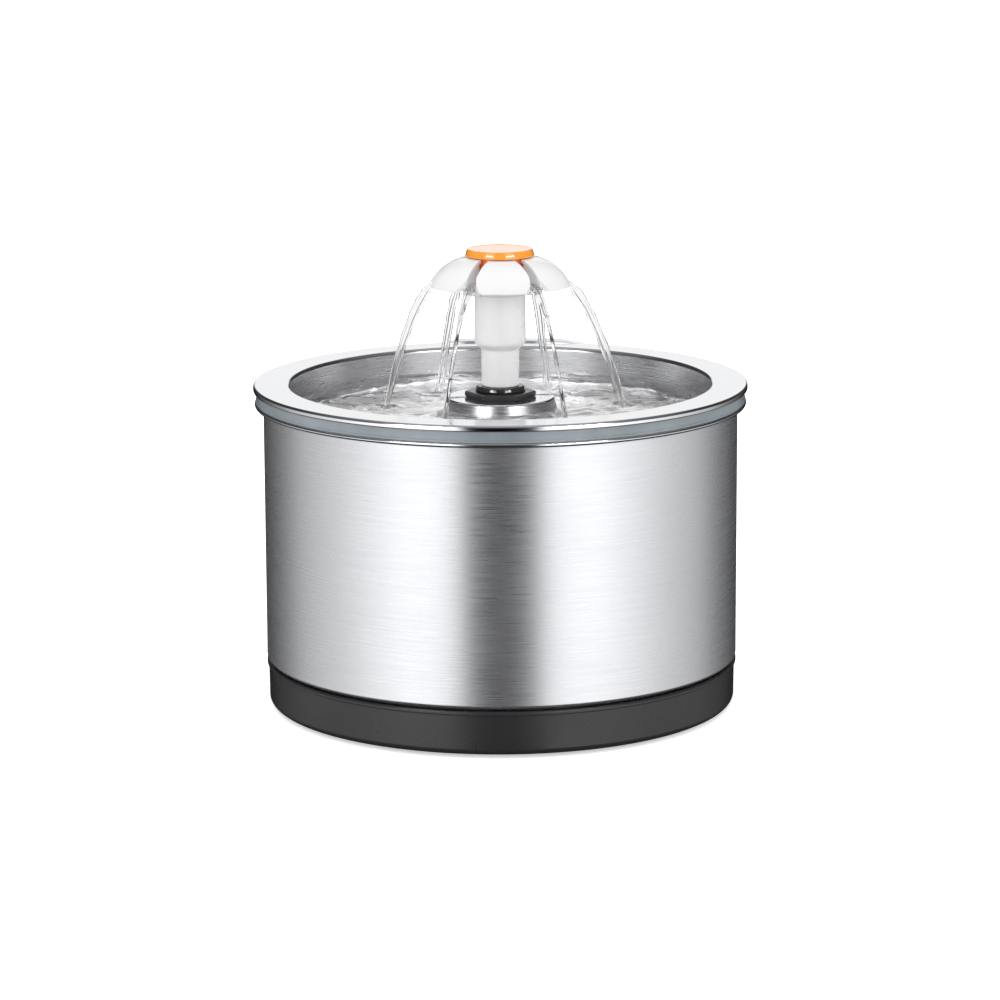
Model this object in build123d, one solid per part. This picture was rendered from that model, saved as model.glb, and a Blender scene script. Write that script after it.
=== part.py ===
from build123d import *
from math import sqrt
import os

# A pet water fountain: a drawn steel tank in a moulded base, a pressed steel drinking tray on a
# silicone seal, and under the tray a filter and a submersible pump, hung from one threaded spigot.
# The pump lifts the water through the riser and the stem to a six-petalled flower, and it falls
# back into the tray. Millimetres, +Z up, the floor at Z 0, the tank's axis on Z, the front at -Y.

os.makedirs("parts", exist_ok=True)

# ---- Driving sizes ------------------------------------------------------------------------------

sheet = 0.8                 # steel sheet of the tank and the tray
push_fit = 0.1              # radial play of pieces that push together by hand
loose_fit = 0.3             # play round soft or hidden pieces

# Base and feet
foot_stand = 1.0            # how far the rubber feet stand out below the base
foot_radius = 7.0
foot_setback = 8.0          # from the base's wall to a foot's edge
foot_count = 4
base_height = 16.8
base_setback = 0.6          # the base's wall stands this far inside the steel shell
base_taper = 0.2
base_corner = 2.4
base_wall = 2.6
base_floor = 2.2
base_hollow = 2.0           # depth of the recess under the base's floor
lip_height = 1.8            # rounded bead round the base's mouth
rib_height = 0.8            # ribs on the base's floor that carry the tank
rib_width = 2.0
rib_count = 8

# Tank
shell_radius = 90.2
shell_height = 99.1         # from the shoulder above the base to the top of the flange
shell_gap = 0.7             # shadow gap between the base's bead and the shoulder
shoulder_bend = 1.4
tank_play = 0.5             # between the tank's foot and the base's wall
tank_corner = 4.0
flange_width = 3.3
bead_radius = 0.9           # rolled edge of the flange
flange_bend = 0.6

# Seal and cord grommet
seal_height = 5.7
seal_width = 5.3
skirt_depth = 7.6           # part of the seal that hangs inside the tank
cord_bore = 1.9
cord_azimuth = 88.0         # the cord leaves at the back, in degrees from +X

# Tray
rim_overhang = 3.8          # the tray's rim stands this far outside the steel shell
rim_width = 13.8
rim_drop = 2.3              # turned-down edge of the rim
rim_corner = 1.0
rim_bend = 1.5
basin_depth = 25.1
basin_draft = 2.4
basin_corner = 6.0
boss_radius = 21.4
boss_height = 19.2
boss_draft = 0.5
boss_edge = 1.0
boss_root = 3.0
vent_radius = 1.75
vent_inset = 3.1            # from the boss's edge to the middle of a vent hole
vent_azimuth = 9.0
return_slot_length = 9.0
return_slot_width = 2.5
return_slot_drop = 5.2      # from the boss's flat top to the middle of a return slot
return_slot_count = 6
arch_height = 1.15          # raised lip of the rim above the cord
arch_width = 1.2
arch_inset = 0.15           # from the rim's edge to the lip
arch_left = -17.0
arch_right = 26.6
arch_ramp = 8.0
notch_width = 8.0           # gap in the turned-down edge where the cord comes out

# Spigot, nut, collar and washer
bore = 4.2                  # water way through the spigot, the riser and the nozzle
thread_radius = 8.0
nut_corner_radius = 13.55
nut_height = 2.2
nut_chamfer = 0.7
collar_radius = 9.6
collar_height = 2.1
nose_radius = 5.8
nose_length = 12.6
lead_in = 0.6               # chamfer on the ends that push into another piece
washer_height = 1.5
washer_radius = 13.0
spigot_flange_radius = 12.0
spigot_flange = 2.0
spigot_socket = 12.0
socket_wall = 2.1

# Riser and filter
riser_radius = 7.0
shoulder_width = 4.0        # collar on the riser that carries the filter
shoulder_height = 2.0
filter_radius = 36.0
filter_stand = 5.9          # from the riser's socket up to the collar that carries the filter
filter_wall = 1.6
filter_gap = 6.2            # between the filter's lid and the tray's floor
filter_slots = 12
pouch_room = 3.7            # left above the pouch for the lid's skirt
pouch_wall = 1.2
carbon_share = 0.62         # share of the pouch's inside that holds carbon

# Pump
cup_height = 6.0
cup_radius = 8.0
cup_stud = 1.7
cup_clearance = 0.2         # the cups hang this far above the tank's floor
pump_width = 40.0
pump_height = 36.0
pump_depth = 42.0
pump_corner = 4.0
pump_wall = 2.5
pump_front = 7.0            # the housing's front face lies this far ahead of the outlet
rotor_offset = 8.0          # the rotor's axis lies this far to the left of the outlet
rotor_rise = 21.0           # height of the rotor's axis above the pump's underside
nozzle_height = 10.0
nozzle_wall = 2.3
chamber_radius = 13.5
chamber_depth = 12.0
impeller_radius = 12.2
blade_count = 6
blade_thickness = 1.2
magnet_radius = 7.7
magnet_length = 19.0
magnet_gap = 0.5            # water gap round the magnet
can_wall = 1.0
shaft_radius = 1.0
bush_radius = 2.55
bush_length = 2.4
stator_depth = 12.0
yoke_height = 4.0
coil_wall = 2.6
cord_boss_radius = 5.0
cord_boss_length = 6.0

# Intake
cover_thickness = 2.5
cover_ring = 1.1            # the cover's ring enters the chamber this far
intake_radius = 6.5
cage_depth = 14.5
cage_wall = 1.6
grille_pitch = 4.8
grille_slot = 2.4
grille_count = 7
grille_height = 24.0
slider_width = 34.0
slider_thickness = 1.2
rail_width = 1.4
rail_lip = 1.0

# Stem and flower
neck_radius = 7.2
neck_length = 14.1
taper_length = 2.4
barrel_radius = 9.75
barrel_length = 18.5
barrel_round = 2.0          # rounding where the barrel turns into the taper
neck_round = 1.2
stem_wall = 1.6
stem_plug = 3.8             # length of the stem's plug in the flower
petal_count = 6
flower_turn = 3.0           # how far the flower is turned on its stem, in degrees
petal_reach = 26.9
petal_wall = 1.3
petal_corner = 4.0
gap_width = 4.4             # parallel gap between two petals
petal_drop = 11.05          # from the petals' crest down to their tips
petal_edge = 0.4            # height of the upright edge at a petal's tip
crest_radius = 9.3          # the crest's distance from the axis
crest_height = 14.65        # the petals' crest above the flower's foot
channel_wall = 1.2
channel_reach = 24.3
channel_start = 7.5         # heights of the channel's floor above the flower's foot
channel_end = 3.7
plenum_radius = 10.3
centre_radius = 11.65
centre_seat = 9.0           # the centre's lower edge above the flower's foot
cap_radius = 13.25
cap_height = 2.7
cap_slope = 0.75
cap_dish = 0.45
cap_rim = 1.1
centre_wall = 1.5

# ---- Heights and radii that follow --------------------------------------------------------------

base_radius = shell_radius - base_setback
base_inner_radius = base_radius - base_wall
foot_circle = base_inner_radius - foot_setback - foot_radius
base_underside_z = foot_stand + base_hollow
base_floor_z = base_underside_z + base_floor
lip_z = foot_stand + base_height
tank_underside_z = base_floor_z + rib_height
tank_floor_z = tank_underside_z + sheet
tank_foot_radius = base_inner_radius - tank_play
shoulder_z = lip_z + shell_gap
flange_z = shoulder_z + shell_height
bead_centre_radius = shell_radius + flange_width - bead_radius

rim_radius = shell_radius + rim_overhang
rim_inner_radius = rim_radius - rim_width
rim_z = flange_z + seal_height + sheet
rim_underside_z = rim_z - sheet
tray_floor_z = rim_z - basin_depth
plateau_z = tray_floor_z + boss_height
seal_radius = rim_radius - sheet - loose_fit
seal_inner_radius = seal_radius - seal_width
cord_z = flange_z + seal_height / 2
grommet_radius = seal_height / 2 - loose_fit - push_fit

nut_top_z = plateau_z + nut_height
stem_foot_z = nut_top_z + collar_height
nose_z = nut_top_z + nose_length
washer_z = plateau_z - sheet - washer_height
spigot_flange_z = washer_z - spigot_flange
socket_radius = riser_radius + push_fit / 2
riser_top_z = spigot_flange_z - sheet

lid_z = tray_floor_z - sheet - filter_gap
basket_top_z = lid_z - filter_wall
sleeve_bore = riser_radius + loose_fit
sleeve_radius = sleeve_bore + filter_wall

pump_z = tank_floor_z + cup_clearance + cup_height
pump_top_z = pump_z + pump_height
pump_back = pump_depth - pump_front
rotor_x = -rotor_offset
rotor_z = pump_z + rotor_rise
nozzle_radius = bore + nozzle_wall
nozzle_z = pump_top_z + nozzle_height
riser_foot_z = pump_top_z + loose_fit
socket_z = nozzle_z + 1
socket_top_z = socket_z + socket_wall
basket_z = socket_top_z + filter_stand + shoulder_height
filter_height = basket_top_z - basket_z
pouch_height = filter_height - filter_wall - push_fit - pouch_room
chamber_back = chamber_depth - pump_front
can_bore = magnet_radius + magnet_gap
can_radius = can_bore + can_wall
magnet_start = chamber_back + 1.5
can_end = magnet_start + magnet_length + 1.5
bay_front = chamber_back + pump_wall
bay_back = pump_back - pump_wall
bay_width = pump_width - 2 * pump_wall
pump_middle_z = pump_z + pump_height / 2
cover_front = -pump_front - cover_thickness
cage_front = cover_front - cage_depth
slider_back = cage_front - push_fit
slider_front = slider_back - slider_thickness

barrel_z = stem_foot_z + neck_length + taper_length
head_z = barrel_z + barrel_length
crest_z = head_z + crest_height
petal_run = petal_reach - crest_radius
dome_drop = petal_drop - petal_edge
dome_radius = (petal_run ** 2 + dome_drop ** 2) / (2 * dome_drop)
dome_z = crest_z - dome_radius
centre_z = head_z + centre_seat
core_bore = centre_radius + push_fit
cap_z = crest_z + push_fit


# ---- Ways of making a solid ---------------------------------------------------------------------

def turned(*corners):
    """Revolve a closed outline of (radius, height) corners about Z; a third value rounds one."""
    points = [corner[:2] for corner in corners]
    rounds = [corner[2] if len(corner) == 3 else 0 for corner in corners]
    outline = FilletPolyline(*points, radius=rounds, close=True)
    return revolve(Plane.XZ * make_face(outline), Axis.Z)


def pressed(corners, side):
    """Revolve a sheet: the path of one face as (radius, height, bend), thickened to that side."""
    points = [corner[:2] for corner in corners]
    bends = [corner[2] for corner in corners[1:-1]]
    outline = offset(FilletPolyline(*points, radius=bends), amount=sheet, side=side)
    return revolve(Plane.XZ * make_face(outline), Axis.Z)


def tube(outer, inner, low, high):
    """An upright tube on the Z axis."""
    return turned((inner, low), (outer, low), (outer, high), (inner, high))


def rod(radius, low, high):
    """An upright rod on the Z axis."""
    return Pos(0, 0, (low + high) / 2) * Cylinder(radius, high - low)


def slab(sketch, front, back):
    """A sketch in X and Z, made solid from the depth front to the depth back along Y."""
    return extrude(Plane.XZ.offset(-back) * sketch, back - front)


def pump_outline(inset=0.0):
    """The pump's upright rounded rectangle, as seen from the front."""
    corner = max(pump_corner - inset, pump_corner / 4)
    shape = RectangleRounded(pump_width - 2 * inset, pump_height - 2 * inset, corner)
    return Pos(rotor_x, pump_middle_z) * shape


def on_rotor(sketch):
    """A sketch moved onto the rotor's axis."""
    return Pos(rotor_x, rotor_z) * sketch


def round_z(count, start=0.0):
    """Turns about Z, evenly spaced, from the azimuth start in degrees."""
    return [Rot(0, 0, start + turn * 360 / count) for turn in range(count)]


# ---- Base, tank and seal ------------------------------------------------------------------------

def make_base():
    """Moulded base: a cup with a rounded bead, ribs under the tank and seats for the feet."""
    foot_outer = base_radius - base_taper
    lip_low = lip_z - lip_height
    cup = turned(
        (0, base_underside_z),
        (base_inner_radius, base_underside_z),
        (base_inner_radius, foot_stand),
        (foot_outer, foot_stand, base_corner),
        (base_radius, lip_low),
        (shell_radius, lip_low, base_setback * 0.8),
        (shell_radius, lip_z, lip_height * 0.45),
        (base_inner_radius, lip_z),
        (base_inner_radius, base_floor_z),
        (0, base_floor_z),
    )
    rib_start = base_radius * 0.2
    rib_end = tank_foot_radius - tank_corner
    rib_middle = (rib_start + rib_end) / 2
    rib = Pos(rib_middle, 0, base_floor_z + rib_height / 2) * Box(
        rib_end - rib_start, rib_width, rib_height
    )
    under_height = base_hollow * 0.7
    under_end = base_inner_radius + base_wall / 4
    under_rib = Pos((rib_start + under_end) / 2, 0, base_underside_z - under_height / 2) * Box(
        under_end - rib_start, rib_width, under_height
    )
    seat_radius = foot_radius + loose_fit
    seat = Pos(foot_circle, 0) * tube(
        seat_radius + base_wall / 2, seat_radius, base_underside_z - under_height, base_underside_z
    )
    for turn in round_z(rib_count):
        cup += [turn * rib, turn * under_rib]
    for turn in round_z(foot_count, start=180 / rib_count):
        cup += turn * seat
    return cup


def make_feet():
    """Rubber feet, each pressed into its seat under the base."""
    foot = turned(
        (0, 0),
        (foot_radius - foot_stand / 2, 0),
        (foot_radius, foot_stand / 2),
        (foot_radius, base_underside_z),
        (0, base_underside_z),
    )
    places = round_z(foot_count, start=180 / rib_count)
    return Compound(children=[place * Pos(foot_circle, 0) * foot for place in places])


def make_tank():
    """Drawn tank: a flat floor, a stepped foot that drops into the base, and a rolled flange."""
    shell = pressed(
        [
            (bead_centre_radius, flange_z - sheet),
            (shell_radius, flange_z - sheet, flange_bend),
            (shell_radius, shoulder_z, shoulder_bend),
            (tank_foot_radius, shoulder_z, sheet),
            (tank_foot_radius, tank_underside_z, tank_corner),
            (0, tank_underside_z),
        ],
        Side.RIGHT,
    )
    bead_z = flange_z - bead_radius
    bead = revolve(Plane.XZ * Pos(bead_centre_radius, bead_z) * Circle(bead_radius), Axis.Z)
    return shell + bead


def make_seal():
    """Silicone seal: it sits on the tank's flange, its skirt inside the tank, and takes the tray."""
    skirt_radius = shell_radius - sheet - loose_fit
    bend_clear = shell_radius + flange_bend
    relief_z = flange_z + sheet
    ring = turned(
        (seal_inner_radius, flange_z - skirt_depth),
        (skirt_radius, flange_z - skirt_depth),
        (skirt_radius, relief_z),
        (bend_clear, relief_z),
        (bend_clear, flange_z),
        (seal_radius, flange_z),
        (seal_radius, rim_underside_z),
        (seal_inner_radius, rim_underside_z),
    )
    hole = Plane.YZ.offset(seal_inner_radius - seal_width) * Circle(grommet_radius + push_fit)
    hole = Pos(0, 0, cord_z) * extrude(hole, 3 * seal_width)
    return ring - Rot(0, 0, cord_azimuth) * hole


def make_grommet():
    """Rubber grommet in the seal, where the pump's cord leaves the tank."""
    start = seal_inner_radius - sheet - loose_fit / 2
    body = extrude(Plane.YZ.offset(start) * Circle(grommet_radius), seal_radius - start - push_fit)
    flange = extrude(Plane.YZ.offset(start) * Circle(seal_height / 2 - push_fit), sheet)
    way = extrude(Plane.YZ.offset(start) * Circle(cord_bore), seal_width * 2)
    return Rot(0, 0, cord_azimuth) * Pos(0, 0, cord_z) * (body + flange - way)


# ---- Drinking tray ------------------------------------------------------------------------------

def make_tray():
    """Pressed tray: turned-down rim, deep ring-shaped basin and a raised boss in the middle."""
    tray = pressed(
        [
            (rim_radius, rim_z - rim_drop),
            (rim_radius, rim_z, rim_corner),
            (rim_inner_radius, rim_z, rim_bend),
            (rim_inner_radius - basin_draft, tray_floor_z, basin_corner),
            (boss_radius + boss_draft, tray_floor_z, boss_root),
            (boss_radius, plateau_z, boss_edge),
            (thread_radius + loose_fit, plateau_z),
        ],
        Side.LEFT,
    )
    vent = Pos(boss_radius - vent_inset, 0) * rod(vent_radius, plateau_z - 2, plateau_z + 1)
    slot = Plane.YZ.offset(boss_radius - 3) * SlotOverall(return_slot_length, return_slot_width)
    slot = Pos(0, 0, plateau_z - return_slot_drop) * extrude(slot, 6)
    notch_height = rim_drop - rim_corner - push_fit
    notch = Pos(rim_radius, 0, rim_z - rim_drop) * Box(4 * sheet, notch_width, 2 * notch_height)
    tray -= [turn * vent for turn in round_z(2, start=vent_azimuth)]
    tray -= [turn * slot for turn in round_z(return_slot_count)]
    tray -= Rot(0, 0, cord_azimuth) * notch
    return tray + make_cord_arch()


def make_cord_arch():
    """Raised lip that stiffens the rim over the cord's notch and ramps down at both ends."""
    low = rim_z - 0.75 * sheet
    high = rim_z + arch_height
    outer = rim_radius - arch_inset
    inner = outer - arch_width
    ring = turned(
        (inner, low),
        (outer, low),
        (outer, high, arch_width / 3),
        (inner, high, arch_width / 3),
    )
    side_view = make_face(
        Polyline(
            (arch_left - arch_ramp, low),
            (arch_right + arch_ramp, low),
            (arch_right + arch_ramp, rim_z),
            (arch_right, high),
            (arch_left, high),
            (arch_left - arch_ramp, rim_z),
            close=True,
        )
    )
    return ring & slab(side_view, rim_inner_radius / 2, rim_radius)


# ---- Spigot, its nut and seals ------------------------------------------------------------------

def make_spigot():
    """Threaded spigot: its flange clamps the tray's boss, its nose carries the stem."""
    socket_outer = riser_radius + socket_wall
    low = spigot_flange_z - spigot_socket
    return turned(
        (socket_radius, low),
        (socket_outer, low),
        (socket_outer, spigot_flange_z),
        (spigot_flange_radius, spigot_flange_z),
        (spigot_flange_radius, washer_z),
        (thread_radius, washer_z),
        (thread_radius, nut_top_z - push_fit),
        (nose_radius, nut_top_z - push_fit),
        (nose_radius, nose_z - lead_in),
        (nose_radius - lead_in, nose_z),
        (bore, nose_z),
        (bore, spigot_flange_z),
        (socket_radius, spigot_flange_z),
    )


def make_nut():
    """Hexagonal lock nut with chamfered corners, one flat to the front."""
    hexagon = Plane.XY.offset(plateau_z) * RegularPolygon(nut_corner_radius, 6)
    blank = extrude(hexagon, nut_height)
    chamfered = turned(
        (0, plateau_z),
        (nut_corner_radius - nut_chamfer, plateau_z),
        (nut_corner_radius, plateau_z + nut_chamfer / 2),
        (nut_corner_radius, nut_top_z - nut_chamfer / 2),
        (nut_corner_radius - nut_chamfer, nut_top_z),
        (0, nut_top_z),
    )
    return (blank & chamfered) - rod(thread_radius + push_fit / 2, plateau_z - 1, nut_top_z + 1)


def make_collar():
    """Round rubber collar between the nut and the stem."""
    inner = nose_radius + push_fit
    edge = collar_height * 0.42
    return turned(
        (inner, nut_top_z),
        (collar_radius, nut_top_z, edge),
        (collar_radius, stem_foot_z, edge),
        (inner, stem_foot_z),
    )


def make_washer():
    """Silicone washer under the tray's boss."""
    return tube(washer_radius, thread_radius + push_fit, washer_z, plateau_z - sheet)


# ---- Riser and filter ---------------------------------------------------------------------------

def make_riser():
    """Riser pipe: a socket over the pump's nozzle, and a collar that carries the filter."""
    socket_bore = nozzle_radius + push_fit / 2
    socket_outer = nozzle_radius + socket_wall
    collar = riser_radius + shoulder_width
    return turned(
        (socket_bore, riser_foot_z),
        (socket_outer, riser_foot_z),
        (socket_outer, socket_top_z),
        (riser_radius, socket_top_z),
        (riser_radius, basket_z - shoulder_height),
        (collar, basket_z - shoulder_height),
        (collar, basket_z),
        (riser_radius, basket_z),
        (riser_radius, riser_top_z - lead_in),
        (riser_radius - lead_in, riser_top_z),
        (bore, riser_top_z),
        (bore, socket_z),
        (socket_bore, socket_z),
    )


def radial_slots(low, high):
    """Cutters for a ring of radial slots between the filter's sleeve and its wall."""
    start = sleeve_radius + 3
    end = filter_radius - filter_wall - 4
    slot = Pos((start + end) / 2, 0) * SlotOverall(end - start, 2.2)
    cutter = extrude(Plane.XY.offset(low) * slot, high - low)
    return [turn * cutter for turn in round_z(filter_slots)]


def make_basket():
    """Filter basket: slotted floor, plain wall and a sleeve that slides over the riser."""
    floor_z = basket_z + filter_wall
    cup = turned(
        (sleeve_bore, basket_z),
        (filter_radius, basket_z),
        (filter_radius, basket_top_z),
        (filter_radius - filter_wall, basket_top_z),
        (filter_radius - filter_wall, floor_z),
        (sleeve_radius, floor_z),
        (sleeve_radius, basket_top_z),
        (sleeve_bore, basket_top_z),
    )
    return cup - radial_slots(basket_z - 1, floor_z + 1)


def make_filter_lid():
    """Slotted lid of the filter, its skirt inside the basket's wall."""
    skirt = filter_radius - filter_wall - push_fit
    lid = turned(
        (sleeve_bore, basket_top_z),
        (skirt - filter_wall, basket_top_z),
        (skirt - filter_wall, basket_top_z - 2),
        (skirt, basket_top_z - 2),
        (skirt, basket_top_z),
        (filter_radius, basket_top_z),
        (filter_radius, lid_z),
        (sleeve_bore, lid_z),
    )
    return lid - radial_slots(basket_top_z - 1, lid_z + 1)


def pouch_sizes():
    """Inner radius, outer radius, underside and top of the filter pouch."""
    low = basket_z + filter_wall + push_fit
    outer = filter_radius - filter_wall - loose_fit
    return sleeve_radius + loose_fit, outer, low, low + pouch_height


def make_pouch():
    """Non-woven pouch with one chamber for the carbon and one for the resin."""
    inner, outer, low, high = pouch_sizes()
    chamber_inner = inner + pouch_wall
    chamber_outer = outer - pouch_wall
    split = pouch_split()
    return (
        tube(outer, inner, low, high)
        - tube(chamber_outer, chamber_inner, low + pouch_wall, split - pouch_wall / 2)
        - tube(chamber_outer, chamber_inner, split + pouch_wall / 2, high - pouch_wall)
    )


def pouch_split():
    """Height of the web between the resin below and the carbon above."""
    low, high = pouch_sizes()[2:]
    return high - pouch_wall - (pouch_height - 2 * pouch_wall) * carbon_share


def make_bed(low, high):
    """A bed of granules that fills one chamber of the pouch."""
    inner, outer = pouch_sizes()[:2]
    return tube(outer - pouch_wall - push_fit, inner + pouch_wall + push_fit, low, high)


# ---- Pump ---------------------------------------------------------------------------------------

def make_pump_housing():
    """Pump housing: volute chamber, can for the rotor, bay for the stator and the outlet nozzle."""
    block = slab(pump_outline(), -pump_front, pump_back)
    chamber = slab(on_rotor(Circle(chamber_radius)), -pump_front, chamber_back)
    can_hole = slab(on_rotor(Circle(can_bore)), chamber_back, can_end)
    pocket = slab(on_rotor(Circle(bush_radius)), can_end, can_end + bush_length)
    can = slab(on_rotor(Circle(can_radius)), chamber_back, can_end + bush_length + can_wall)
    bay = slab(pump_outline(pump_wall), bay_front, pump_back) - can
    outlet = rod(bore, rotor_z, nozzle_z + 1)
    nozzle = turned(
        (0, pump_top_z - 1),
        (nozzle_radius, pump_top_z - 1),
        (nozzle_radius, nozzle_z - lead_in),
        (nozzle_radius - lead_in, nozzle_z),
        (0, nozzle_z),
    )
    housing = block + nozzle - chamber - can_hole - pocket - bay - outlet
    stud_depth = pump_wall * 0.6
    for x, y in cup_places():
        housing -= Pos(x, y) * rod(cup_stud, pump_z, pump_z + stud_depth)
    return housing


def make_pump_back():
    """Back plate of the stator's bay, with the boss where the cord goes in."""
    plate = slab(pump_outline(pump_wall + push_fit), bay_back, pump_back)
    boss = slab(on_rotor(Circle(cord_boss_radius)), pump_back, pump_back + cord_boss_length)
    way = slab(on_rotor(Circle(cord_bore)), bay_back, pump_back + cord_boss_length)
    return plate + fillet(boss.faces().sort_by(Axis.Y)[-1].edges(), 1.0) - way


def stator_sizes():
    """Front, back and underside of the stator's laminations, and the yoke's upper face."""
    front = (bay_front + can_end) / 2 - stator_depth / 2 + 1
    coil_low = pump_z + pump_wall + push_fit
    low = coil_low + coil_wall
    return front, front + stator_depth, low, low + yoke_height


def make_stator_core():
    """U of laminations: a yoke through the coil and two poles that hug the can."""
    front, back, low, yoke_top = stator_sizes()
    outer_half = bay_width / 2 - loose_fit
    arm_top = rotor_z + can_radius
    arm_width = outer_half - can_radius + 2
    yoke = Pos(rotor_x, (low + yoke_top) / 2) * Rectangle(2 * outer_half, yoke_top - low)
    core = yoke
    for side in (-1, 1):
        arm_x = rotor_x + side * (outer_half - arm_width / 2)
        core += Pos(arm_x, (low + arm_top) / 2) * Rectangle(arm_width, arm_top - low)
    return slab(core - on_rotor(Circle(can_radius + push_fit)), front, back)


def make_stator_coil():
    """Coil wound round the yoke, below the can."""
    front, back, low, yoke_top = stator_sizes()
    half = can_radius - 2 - push_fit
    top = rotor_z - can_radius - push_fit
    outside = Pos(rotor_x, (low - coil_wall + top) / 2) * RectangleRounded(
        2 * half, top - low + coil_wall, 0.8
    )
    window = Pos(rotor_x, (low + yoke_top) / 2, 0) * Rectangle(
        2 * half + 2, yoke_top - low + 2 * push_fit
    )
    end = coil_wall / 2
    return slab(outside, front - end, back + end) - slab(window, front - push_fit, back + push_fit)


def make_impeller():
    """Impeller: back disc, curved blades and the hollow hub that carries the magnet."""
    disc_back = chamber_back - 1.0
    disc_front = disc_back - 1.5
    blade_front = -pump_front + cover_ring + 0.7
    hub_radius = shaft_radius + 2
    curve = impeller_radius * 0.9
    arc = Pos(0, curve) * (Circle(curve) - Circle(curve - blade_thickness))
    ring = Circle(impeller_radius) - Circle(hub_radius - 0.3)
    half = Pos(impeller_radius / 2, impeller_radius / 2) * Rectangle(impeller_radius, impeller_radius)
    blade = arc & ring & half
    blades = [Rot(0, 0, turn * 360 / blade_count) * blade for turn in range(blade_count)]
    disc = slab(on_rotor(Circle(impeller_radius)), disc_front, disc_back)
    hub = slab(on_rotor(Circle(hub_radius)), blade_front, magnet_start + magnet_length)
    wheel = disc + hub
    for shape in blades:
        wheel += slab(on_rotor(shape), blade_front, disc_front)
    return wheel - slab(on_rotor(Circle(shaft_radius + 0.06)), blade_front, can_end)


def make_magnet():
    """Magnet sleeve on the impeller's hub."""
    ring = Circle(magnet_radius) - Circle(shaft_radius + 2 + 0.02)
    return slab(on_rotor(ring), magnet_start, magnet_start + magnet_length)


def make_shaft():
    """Ceramic shaft on which the impeller turns, held in two rubber bushes."""
    return slab(on_rotor(Circle(shaft_radius)), front_bush_front(), can_end + bush_length - push_fit)


def front_bush_front():
    """Depth of the front bush's front face, in the middle of the cover's spider."""
    return cover_front + push_fit


def make_bush(front, play):
    """Rubber bush at one end of the shaft."""
    ring = Circle(bush_radius - 0.02) - Circle(shaft_radius + play)
    return slab(on_rotor(ring), front, front + bush_length)


def cup_places():
    """Middles of the suction cups under the pump."""
    return [
        (rotor_x + side * (pump_width / 2 - cup_radius), y)
        for side in (-1, 1)
        for y in (cup_radius - pump_front + 1, pump_back - cup_radius - 1)
    ]


def make_cups():
    """Suction cups, each with a stud in the pump's underside."""
    low = tank_floor_z + cup_clearance
    neck = cup_radius * 0.36
    stud = cup_stud - 0.02
    stud_top = pump_z + pump_wall * 0.6 - push_fit
    cup = turned(
        (0, low + 2.2),
        (cup_radius * 0.5, low + 1.9),
        (cup_radius - 0.6, low),
        (cup_radius, low),
        (cup_radius * 0.62, low + 3.0),
        (neck, low + 3.6),
        (neck, pump_z),
        (stud, pump_z),
        (stud, stud_top),
        (0, stud_top),
    )
    return Compound(children=[Pos(x, y) * cup for x, y in cup_places()])


# ---- Intake -------------------------------------------------------------------------------------

def make_impeller_cover():
    """Cover of the volute: a ring in the chamber, an intake hole and a three-armed spider."""
    plate = slab(pump_outline(), cover_front, -pump_front)
    ring_outer = chamber_radius - push_fit
    ring = on_rotor(Circle(ring_outer) - Circle(ring_outer - 1.2))
    rim = pump_outline(cage_wall + push_fit) - pump_outline(2 * cage_wall + push_fit)
    hub = Circle(bush_radius + 1)
    spider = Sketch() + hub
    arm = Pos(intake_radius / 2, 0) * Rectangle(intake_radius + 0.5, 1.6)
    for turn in round_z(3, start=90):
        spider += turn * arm
    cover = plate + slab(ring, -pump_front, -pump_front + cover_ring)
    cover += slab(rim, cover_front - cage_wall, cover_front)
    cover -= slab(on_rotor(Circle(intake_radius)), cover_front, -pump_front)
    cover += slab(on_rotor(spider), cover_front, -pump_front)
    return cover - slab(on_rotor(Circle(bush_radius)), cover_front, -pump_front)


def grille(height):
    """The upright slots that the cage's front and the slider share."""
    slot = SlotOverall(height, grille_slot, rotation=90)
    places = GridLocations(grille_pitch, 0, grille_count, 1)
    return Pos(rotor_x, pump_middle_z) * (Sketch() + [place * slot for place in places])


def slider_half_height():
    """Half the slider's height: its edge runs just outside the grille."""
    return grille_height / 2 + 2


def make_cage():
    """Intake cage: slotted front and sides, and two lipped rails for the flow slider."""
    shell = slab(pump_outline(), cage_front, cover_front)
    hollow = slab(pump_outline(cage_wall), cage_front + cage_wall, cover_front)
    cage = shell - hollow - slab(grille(grille_height), cage_front, cage_front + cage_wall)
    side_slot = Plane.YZ * SlotOverall(grille_height, grille_slot, rotation=90)
    side_cutter = extrude(side_slot, pump_width / 2 + 1, both=True)
    for step in (-1, 1):
        depth = (cage_front + cover_front) / 2 + step * grille_pitch / 2 + 0.5
        cage -= Pos(rotor_x, depth, pump_middle_z) * side_cutter
    half = slider_half_height() + push_fit
    rail_length = pump_width - 2 * pump_corner
    lip_back = slider_front - push_fit
    lip_front = lip_back - rail_lip
    for side in (-1, 1):
        web_z = pump_middle_z + side * (half + rail_width / 2)
        lip_z_middle = pump_middle_z + side * (half + rail_width / 2 - rail_lip / 2)
        web = Pos(rotor_x, web_z) * Rectangle(rail_length, rail_width)
        lip = Pos(rotor_x, lip_z_middle) * Rectangle(rail_length, rail_width + rail_lip)
        cage += slab(web, lip_back, cage_front)
        cage += slab(lip, lip_front, lip_back)
    return cage


def make_foam():
    """Foam pre-filter that fills the cage."""
    clear = cage_wall + loose_fit
    back = cover_front - cage_wall - push_fit
    return slab(pump_outline(clear), cage_front + cage_wall + push_fit, back)


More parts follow.
